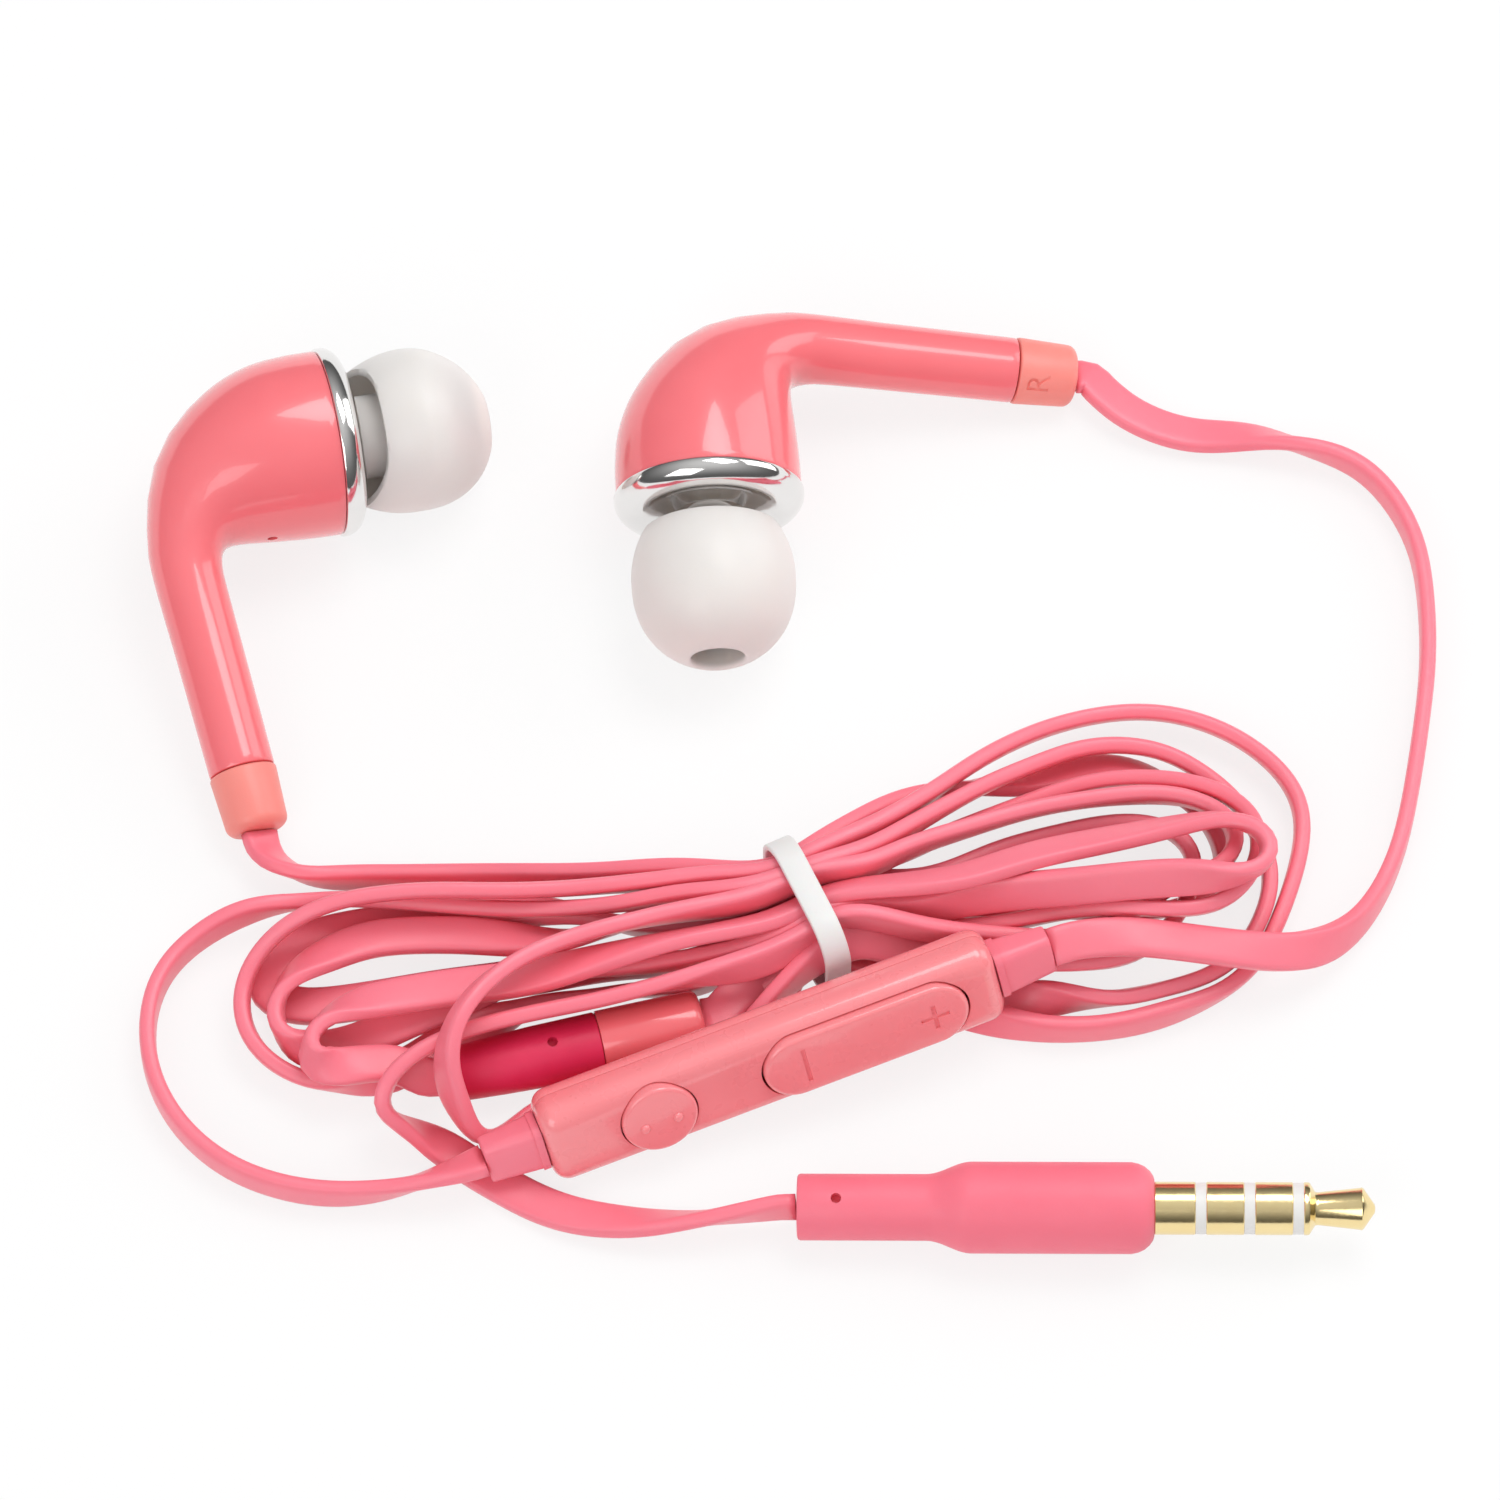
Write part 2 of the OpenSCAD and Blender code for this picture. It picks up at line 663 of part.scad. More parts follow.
module microphone_gasket() {
  color("black") on_remote() translate([mic_x, 0, floor_z + face]) difference() {
    cylinder(d = 1.8, h = board_z - floor_z - face);
    translate([0, 0, -1]) cylinder(d = 0.8, h = 2);
  }
}

// A soft sleeve with a flange inside the case, a neck in the window and a tapered tail
module end_sleeve() {
  wall_in = remote_len / 2 - end_wall;
  color(deep_pink) {
    translate([wall_in - 0.6 - face, 0, 0]) rotate([90, 0, 90])
      linear_extrude(0.6) rounded_rect(window_w + 0.8, window_t, 0.5);
    translate([wall_in - 0.3, 0, 0]) rotate([90, 0, 90]) linear_extrude(end_wall + 0.6)
      rounded_rect(window_w - 0.1, window_t - 0.1, 0.5);
    hull() {
      translate([remote_len / 2 + face, 0, 0]) rotate([90, 0, 90])
        linear_extrude(0.3) rounded_rect(window_w + 0.4, window_t + 0.5, 0.8);
      translate([remote_len / 2 + sleeve_len - 0.3, 0, 0]) rotate([90, 0, 90])
        linear_extrude(0.3) rounded_rect(cable_w + 0.5, cable_t + 0.8, 0.6);
    }
  }
}

module remote_right_sleeve() { on_remote() end_sleeve(); }
module remote_left_sleeve() { on_remote() mirror([1, 0, 0]) end_sleeve(); }

// ---- Splitter: local X runs from the relief to the two leads ----

module on_splitter() {
  place(splitter_at, splitter_turn, 90, 0) children();
}

module splitter_shell() {
  r = splitter_d / 2;
  color(salmon) on_splitter() difference() {
    rotate_extrude() polygon([
      [0, face], [r - 0.1, face], [r, 0.1], [r, splitter_len - 0.5],
      [r - 0.15, splitter_len - 0.15], [r - 0.5, splitter_len], [0, splitter_len]
    ]);
    translate([0, 0, -1]) cylinder(r = r - 0.7, h = 3.5);
  }
}

module splitter_relief() {
  r = splitter_d / 2;
  color(crimson) on_splitter() difference() {
    union() {
      rotate_extrude() polygon([
        [0, -relief_len], [r - 0.5, -relief_len], [r - 0.35, -relief_len + 0.2],
        [r - 0.1, -relief_len * 0.45], [r - 0.05, 0], [0, 0]
      ]);
      translate([0, 0, -0.5]) cylinder(r = r - 0.7 - fit, h = 2.5);
    }
    translate([-r - 1, 0, -3.2]) rotate([0, 90, 0]) cylinder(d = 0.8, h = 2);
  }
}

// ---- Plug: local X runs from the handle's shoulder out along the jack ----

module on_plug() {
  place(plug_at, plug_turn, plug_rise + 90, 0) children();
}

jack_tail = 4;
jack_tail_d = 3.0;

module plug_handle() {
  r = handle_d / 2;
  neck_r = handle_neck_d / 2;
  swell = [for (s = [0 : 0.125 : 1]) [
    neck_r + (r - neck_r) * (1 - cos(180 * s)) / 2,
    -handle_len + handle_len * (handle_taper[0] + (handle_taper[1] - handle_taper[0]) * s)
  ]];
  color(deep_pink) on_plug() difference() {
    rotate_extrude() polygon(concat(
      [[0, -handle_len], [neck_r - 0.15, -handle_len], [neck_r, -handle_len + 0.15]],
      swell,
      [[r, -0.5], [r - 0.3, -0.1], [r - 0.6, 0], [0, 0]]
    ));
    translate([0, 0, -jack_tail - fit]) cylinder(d = jack_tail_d + fit, h = jack_tail + 1);
    translate([-neck_r - 1, 0, -handle_len + 2.6]) rotate([0, 90, 0]) cylinder(d = 0.7, h = 1.8);
  }
}

ring_two_at = sleeve_contact_len + insulator_len;
ring_one_at = ring_two_at + ring_contact_len + insulator_len;
tip_at = ring_one_at + ring_contact_len + insulator_len;

module contact_tube(from, length) {
  translate([0, 0, from]) difference() {
    cylinder(d = jack_d, h = length);
    translate([0, 0, -1]) cylinder(d = jack_pin_d + fit, h = length + 2);
  }
}

module plug_sleeve_contact() {
  color("gold") on_plug() {
    contact_tube(face, sleeve_contact_len - face);
    translate([0, 0, -jack_tail]) difference() {
      cylinder(d = jack_tail_d, h = jack_tail + 0.5);
      translate([0, 0, -1]) cylinder(d = jack_pin_d + fit, h = jack_tail + 3);
    }
  }
}

module plug_ring_two() { color("gold") on_plug() contact_tube(ring_two_at, ring_contact_len); }
module plug_ring_one() { color("gold") on_plug() contact_tube(ring_one_at, ring_contact_len); }

module plug_insulators() {
  color("white") on_plug()
    for (end = [ring_two_at, ring_one_at, tip_at])
      contact_tube(end - insulator_len + face, insulator_len - 2 * face);
}

// The tip's groove is what the socket's spring drops into; its pin runs back to the handle
module plug_tip_contact() {
  r = jack_d / 2;
  color("gold") on_plug() {
    rotate_extrude() polygon([
      [0, tip_at], [r, tip_at], [r, tip_at + 0.3], [r - 0.65, tip_at + 0.75],
      [r - 0.65, tip_at + 1], [r - 0.3, tip_at + tip_contact_len - 0.9],
      [0.25, tip_at + tip_contact_len], [0, tip_at + tip_contact_len]
    ]);
    translate([0, 0, -jack_tail]) cylinder(d = jack_pin_d, h = tip_at + jack_tail + 0.1);
  }
}

// ---- Cable ----

tie_corner_r = 2.4;

// Local Z runs along the bundle
module on_tie(length) {
  translate(tie_at) rotate([0, 0, tie_turn]) rotate([90, 0, 90])
    translate([0, 0, -length / 2]) linear_extrude(length) children();
}

module cable_tie() {
  color("white") on_tie(tie_w) difference() {
    rounded_rect(tie_inner_w + 2 * tie_t, tie_inner_h + 2 * tie_t, tie_corner_r + tie_t);
    rounded_rect(tie_inner_w, tie_inner_h, tie_corner_r);
  }
}

// Each point is x, y, z and how far the cable has rolled from standing on its edge, in degrees
function boot_point(ahead) = let (reach = boot_len + ahead)
  stem_end + reach * [sin(stem_splay), -cos(stem_splay), 0];
function left_boot_point(ahead) =
  placed(boot_point(ahead), left_at, left_turn, ear_tilt, ear_roll);
function right_boot_point(ahead) = let (p = boot_point(ahead))
  placed([p.x, -p.y, 0], right_at, right_turn, ear_tilt, -ear_roll);
function sleeve_point(side, ahead) =
  placed([side * (remote_len / 2 + sleeve_len + ahead), 0, 0],
    remote_at, remote_turn, remote_rise, remote_lean);
function plug_point(ahead) =
  placed([-handle_len - ahead, 0, 0], plug_at, plug_turn, plug_rise, 0);
function rolled(p, roll) = [p.x, p.y, p.z, roll];

left_lead_route = [
  rolled(left_boot_point(0.1), 60), rolled(left_boot_point(1.2), 55),
  [-22.1, -21.3, 1.9, 30], [-19.9, -21.6, 1.6, 10], [-17.5, -21.6, 1.5, 0],
  [-15.7, -21.6, 1.5, 0]
];
right_lead_route = [
  rolled(right_boot_point(0.1), 75), rolled(right_boot_point(1.2), 75),
  [34.3, 14.8, 1.7, 80], [36.8, 13.5, 1.2, 80], [39.8, 12.6, 0.9, 80],
  [43.8, 12.3, 1.2, 60], [47.3, 11.4, 1.5, 20], [50.8, 10, 1.5, 5], [53.3, 7.2, 1.5, 0],
  [54.9, 3.4, 1.5, 0], [55.4, -1.2, 1.5, 0], [55.3, -5.8, 1.5, 0], [54.7, -10.4, 1.5, 0],
  [53.9, -15, 1.5, 0], [52.9, -19.2, 1.5, 0], [51.3, -23, 1.5, 5], [48.9, -26.2, 2.1, 20],
  [45.7, -28, 3.2, 60], [42.3, -28.4, 4.0, 80], [38.9, -28.4, 4.5, 88],
  [35.3, -28.4, 5.2, 85], [32.3, -28.5, 5.9, 75],
  rolled(sleeve_point(1, 0.9), 65), rolled(sleeve_point(1, 0.1), 65)
];
remote_lead_route = [
  rolled(sleeve_point(-1, 0.1), -65), rolled(sleeve_point(-1, 1), -60),
  [-12.3, -44.3, 2.1, -30], [-15.1, -44.8, 1.6, -10], [-18.3, -45, 1.5, 0],
  [-21.7, -44.5, 1.5, 0], [-25.3, -43, 1.5, 0], [-28.2, -40.5, 1.5, 0],
  [-30.1, -37.4, 1.5, 0], [-30.9, -34, 1.5, 0], [-30.6, -30.8, 1.5, 0],
  [-29.3, -28.2, 1.5, 0], [-26.9, -26.2, 1.5, 0], [-24.3, -25.1, 1.5, 0]
];
main_lead_route = [
  [-11.3, -40.8, 1.4, 65], [-9.6, -41.8, 0.9, 85], [-8.3, -42.7, 0.75, 90],
  [-6.8, -43.6, 0.75, 90], [-5, -44.6, 0.75, 90], [-3.2, -45.5, 0.8, 85],
  [0.8, -46.5, 1.1, 65], [4.9, -46.8, 1.7, 35], [8.9, -46.6, 2.3, 10],
  rolled(plug_point(0.9), 0), rolled(plug_point(0.1), 0)
];

function xyz(p) = [p[0], p[1], p[2]];

// Where the cable runs at each point of a route
function tangents(route) = [
  for (i = [0 : len(route) - 1])
    unit(xyz(route[min(i + 1, len(route) - 1)]) - xyz(route[max(i - 1, 0)]))
];

// A flat eight-sided section, with its broad side turned by the roll of its point
function cable_ring(p, tangent) = let (
  side = unit(cross(tangent, [0, 0, 1])),
  up = cross(side, tangent),
  broad = up * cos(p[3]) + side * sin(p[3]),
  thin = cross(broad, tangent),
  w = cable_w / 2,
  t = cable_t / 2,
  outline = [[w, t * 0.35], [w * 0.72, t], [-w * 0.72, t], [-w, t * 0.35],
    [-w, -t * 0.35], [-w * 0.72, -t], [w * 0.72, -t], [w, -t * 0.35]]
) [for (q = outline) xyz(p) + q[0] * broad + q[1] * thin];

module cable(route) {
  directions = tangents(route);
  color(deep_pink) loft([for (i = [0 : len(route) - 1]) cable_ring(route[i], directions[i])]);
}

module left_lead() { cable(left_lead_route); }
module right_lead() { cable(right_lead_route); }
module remote_lead() { cable(remote_lead_route); }
module main_lead() { cable(main_lead_route); }

// Plan of the tied hank: a lobe on each side of the tie
hank_outline = [
  [-25.6, -30.9], [-24, -26.4], [-20.2, -23.4], [-15.2, -21.8], [-6.7, -21.2], [3.3, -21.6],
  [11.2, -21.9], [17.3, -18.7], [23.8, -14.6], [30.3, -10.8], [36.8, -9], [42.3, -10.2],
  [45.8, -14], [46.5, -18.4], [45.5, -23], [43.3, -27.4], [39.8, -30.8], [34.8, -33.4],
  [28.8, -34.8], [23.3, -34.2], [18.8, -31.8], [14.8, -29.7], [6.3, -30.3], [-1.7, -31.6],
  [-8.2, -33.4], [-10.9, -37.4], [-12.9, -39.6], [-16.2, -39], [-20.2, -37.6],
  [-23.9, -35]
];
hank_middle = [
  [-8.7, -26.9], [-4.7, -24.6], [3.3, -22.8], [11.2, -21.9], [17.3, -19.2], [24.3, -16], [30.3, -15.8],
  [32.3, -19.4], [28.3, -23.2], [21.3, -26.4], [14.8, -29.7], [7.3, -29.6], [-0.7, -29.4], [-6.7, -29.2]
];
hank_top = [
  [1.3, -26.8], [5.3, -24.3], [11.5, -22.7], [16.3, -20.4], [20.3, -19.8], [21.8, -21.9],
  [19.3, -25], [14.4, -28.7], [9.3, -28.3], [4.3, -27.8]
];
hank_layers = [[hank_outline, 2.7], [hank_middle, 5.2], [hank_top, hank_top_z]];
waist_gap = 0.15;               // round the bundle, inside the tie

module cable_hank() {
  room = 0.8;
  key_room = 1.4;
  color(deep_pink) difference() {
    union() {
      for (layer = hank_layers)
        translate([0, 0, hank_foot]) linear_extrude(layer[1] - hank_foot)
          polygon(closed_spline(layer[0], 2));
    }
    on_splitter() translate([0, 0, -relief_len - face])
      cylinder(d = splitter_d + 0.6, h = relief_len + splitter_len + 2 * face);
    on_remote() cube([remote_len + room, remote_w + room, remote_t + key_room], center = true);
    on_tie(tie_w + 0.6) difference() {
      square(3 * tie_inner_w, center = true);
      rounded_rect(tie_inner_w - 2 * waist_gap, tie_inner_h - 2 * waist_gap, tie_corner_r);
    }
  }
}

left_housing();
left_stem_boot();
left_front_cover();
left_nozzle_mesh();
left_ear_tip();
left_driver_basket();
left_driver_yoke();
left_driver_magnet();
left_driver_plate();
left_diaphragm();
left_driver_board();
right_housing();
right_stem_boot();
right_front_cover();
right_nozzle_mesh();
right_ear_tip();
right_driver_basket();
right_driver_yoke();
right_driver_magnet();
right_driver_plate();
right_diaphragm();
right_driver_board();
remote_cover();
remote_base();
play_button();
volume_rocker();
remote_board();
switch_bodies();
switch_domes();
microphone();
microphone_gasket();
remote_left_sleeve();
remote_right_sleeve();
splitter_shell();
splitter_relief();
plug_handle();
plug_sleeve_contact();
plug_ring_two();
plug_ring_one();
plug_tip_contact();
plug_insulators();
cable_tie();
left_lead();
right_lead();
remote_lead();
main_lead();
cable_hank();
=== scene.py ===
# Wired in-ear earphones on a table: two earpieces, a flat cable tied in a hank, an inline
# remote, a splitter and a four-pole plug. Sizes are written in millimetres and scaled by mm.
import math
import bpy
import numpy as np
from mathutils import Matrix, Vector


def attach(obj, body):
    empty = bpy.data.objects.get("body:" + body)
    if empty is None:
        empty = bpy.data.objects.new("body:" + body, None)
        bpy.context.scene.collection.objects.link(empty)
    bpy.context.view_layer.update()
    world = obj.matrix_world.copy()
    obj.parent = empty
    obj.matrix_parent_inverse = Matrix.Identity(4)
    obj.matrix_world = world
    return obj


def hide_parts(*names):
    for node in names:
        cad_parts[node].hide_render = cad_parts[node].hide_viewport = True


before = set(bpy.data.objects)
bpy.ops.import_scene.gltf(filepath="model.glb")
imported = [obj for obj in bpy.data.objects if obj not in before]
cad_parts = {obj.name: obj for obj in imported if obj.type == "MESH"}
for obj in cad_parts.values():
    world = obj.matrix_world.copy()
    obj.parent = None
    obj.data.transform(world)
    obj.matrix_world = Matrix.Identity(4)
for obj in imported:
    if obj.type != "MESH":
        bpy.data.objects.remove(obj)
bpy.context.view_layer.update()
mm = 0.001

# ---- Camera: a long lens that looks down on the table from 63 degrees ----
bpy.ops.object.camera_add(
    location=(9.2 * mm, -283.7 * mm, 534.6 * mm), rotation=(math.radians(27), 0, 0))
camera = bpy.context.object
camera.data.lens = 211.9
camera.data.sensor_width = 36
camera.data.clip_start, camera.data.clip_end = 0.05, 5
bpy.context.scene.camera = camera
bpy.context.scene.view_settings.view_transform = "Standard"

# ---- Cable: four lengths of flat cable with a soft satin skin ----
# One runs from the left boot to the splitter, two join the right boot, the remote and the
# splitter, and one goes from the splitter to the plug. Each is a route of x, y, z and roll
# (0 stands on edge, 90 lies flat), and all four pass through the tie.
cable_w, cable_t = 2.6, 1.1
tie_at, tie_turn = np.array([13.0, -25.8, 4.225]), 25
tie_inner, tie_corner = np.array([9.3, 7.25]), 2.4
left_route = [
    (-23.87, -18.59, 2.04, 60), (-23.57, -19.62, 1.8, 55), (-22.1, -21.3, 1.9, 30),
    (-19.9, -21.6, 1.6, 10), (-17.5, -21.6, 1.5, 0), (-15.7, -21.6, 1.5, 0), (-9, -21.4, 1.6, 0),
    (-2.4, -21.6, 2.6, 0), (3.8, -21.7, 4.4, 5), (9.9, -22.7, 5.3, 0), (12.6, -21.4, 5.3, 0),
    (18.7, -17.6, 4.4, 11), (23.4, -15.6, 3, 20), (28.5, -14.6, 2, 60), (33.6, -13.6, 1.4, 60),
    (37.3, -15.1, 1.3, 40), (39.9, -17.8, 1.5, 14), (41, -20.5, 1.5, 1), (40.2, -23.7, 1.5, -16),
    (36, -26, 1.5, -23), (30, -26.8, 1.6, -24), (22.6, -27.6, 1.8, -10), (14.4, -25.4, 1.5, 0),
    (11.7, -26.7, 1.5, 0), (7.2, -31.6, 1.6, -8), (2.5, -31.9, 1.6, -24), (-0.8, -32.3, 1.6, -24),
    (-4.8, -33.1, 1.5, -21), (-7.5, -35.7, 1.2, 35), (-9.3, -36.7, 0.8, 75), (-10.8, -37.5, 0.65, 88),
    (-11.9, -38.5, 0.65, 88), (-13.6, -39.1, 0.9, 60), (-15.6, -39.1, 1.3, 15),
    (-17.9, -38.5, 1.5, -22), (-20.8, -36.8, 1.5, -19), (-23.2, -34.4, 1.5, -13), (-24.1, -32, 1.5, -4),
    (-24.1, -29.9, 1.6, 5), (-23.3, -28.3, 2.2, 16), (-21.5, -26.8, 3.3, 21), (-19, -25.8, 4, 23),
    (-16.4, -25.3, 4.1, 24), (-12.8, -25.1, 4, 24), (-8.1, -25.2, 4, 24), (-3.5, -24.7, 4.2, 24),
    (1.2, -24, 4.8, 18), (6.9, -23.5, 5.9, 0), (10.8, -23.5, 6.2, 0), (12.6, -22.6, 6.2, 0),
    (16.6, -20.7, 5.6, 0), (20.6, -17.5, 4.6, 15), (24.5, -14.1, 3.2, 19), (28.6, -11.3, 2, 21),
    (32.6, -9.8, 1.6, 23), (36.6, -9.4, 1.5, 24), (40.5, -10.4, 1.5, 22), (43.5, -12.4, 1.5, 18),
    (45.4, -14.9, 1.5, 10), (45.9, -17.5, 1.5, 0), (45.3, -20.8, 1.5, -6), (44.2, -24.1, 1.5, -8),
    (43, -27.1, 1.5, -11), (41.8, -29, 1.5, -15), (40.3, -30.5, 1.5, -19), (38.5, -31.6, 1.5, 0),
    (36.2, -32.9, 1.5, 0), (33.3, -33.9, 1.5, 0), (29.9, -34.4, 1.4, 10), (26.5, -34.4, 1, 50),
    (23.2, -34.1, 0.75, 90), (20.2, -33.4, 0.75, 90), (17.8, -30.2, 0.9, 60), (15.4, -27.6, 1.5, 0),
    (13.2, -28.7, 1.5, 0), (10.4, -30.9, 1.1, 60), (6.99, -32.56, 1.7, 90), (6.06, -32.78, 1.7, 90),
]
right_route = [
    (31.64, 16.63, 2.04, 75), (32.71, 16.63, 1.8, 75), (34.3, 14.8, 1.7, 80), (36.8, 13.5, 1.2, 80),
    (39.8, 12.6, 0.9, 80), (43.8, 12.3, 1.2, 60), (47.3, 11.4, 1.5, 20), (50.8, 10, 1.5, 5),
    (53.3, 7.2, 1.5, 0), (54.9, 3.4, 1.5, 0), (55.4, -1.2, 1.5, 0), (55.3, -5.8, 1.5, 0),
    (54.7, -10.4, 1.5, 0), (53.9, -15, 1.5, 0), (52.9, -19.2, 1.5, 0), (51.3, -23, 1.5, 5),
    (48.9, -26.2, 2.1, 20), (45.7, -28, 3.2, 60), (42.3, -28.4, 4, 80), (38.9, -28.4, 4.5, 88),
    (35.3, -28.4, 5.2, 85), (32.3, -28.5, 5.9, 75), (29.91, -29, 6.43, 65), (29.17, -29.28, 6.36, 65),
]
lower_route = [
    (-8.37, -43.32, 3.14, -65), (-9.21, -43.63, 3.07, -60), (-12.3, -44.3, 2.1, -30),
    (-15.1, -44.8, 1.6, -10), (-18.3, -45, 1.5, 0), (-21.7, -44.5, 1.5, 0), (-25.3, -43, 1.5, 0),
    (-28.2, -40.5, 1.5, 0), (-30.1, -37.4, 1.5, 0), (-30.9, -34, 1.5, 0), (-30.6, -30.8, 1.5, 0),
    (-29.3, -28.2, 1.5, 0), (-26.9, -26.2, 1.6, 0), (-24.3, -25.1, 2, 0), (-21.2, -24.4, 1.5, 24),
    (-18, -24.3, 1.5, 24), (-13.9, -24.6, 1.5, 24), (-9.6, -25, 1.8, 24), (-4.8, -25.4, 2.7, 24),
    (-0.1, -25.5, 3.9, 24), (4.5, -25.1, 5.1, 7), (8.4, -25.1, 6.2, 0), (11.5, -24.5, 6.3, 0),
    (13.1, -23.8, 6.3, 0), (16.5, -23, 6, 0), (20.5, -19.9, 5, 12), (24.5, -16.9, 3.9, 20),
    (28.5, -14.6, 2.8, 21), (31.5, -13.3, 2.2, 23), (34.5, -13, 1.8, 24), (37.5, -13.5, 1.5, 23),
    (39.6, -14.9, 1.5, 19), (41.6, -16.5, 1.5, 16), (43.2, -18.9, 1.5, 11), (44.2, -21.3, 1.6, 5),
    (44.3, -23.8, 1.6, -4), (43.2, -26.7, 1.5, -11), (41.6, -28.7, 1.5, -18), (39.7, -29.8, 1.5, -22),
    (36.8, -30.7, 1.5, -23), (33.4, -31.5, 1.5, -24), (29.9, -31.6, 1.4, 20), (26, -31.8, 0.75, 90),
    (22, -29.8, 0.75, 90), (18.6, -28.4, 1.1, 50), (14.9, -26.5, 1.5, 0), (12.7, -27.6, 1.5, 0),
    (10.2, -30.1, 2.2, 60), (6.99, -32.56, 2.9, 90), (6.06, -32.78, 2.9, 90),
]
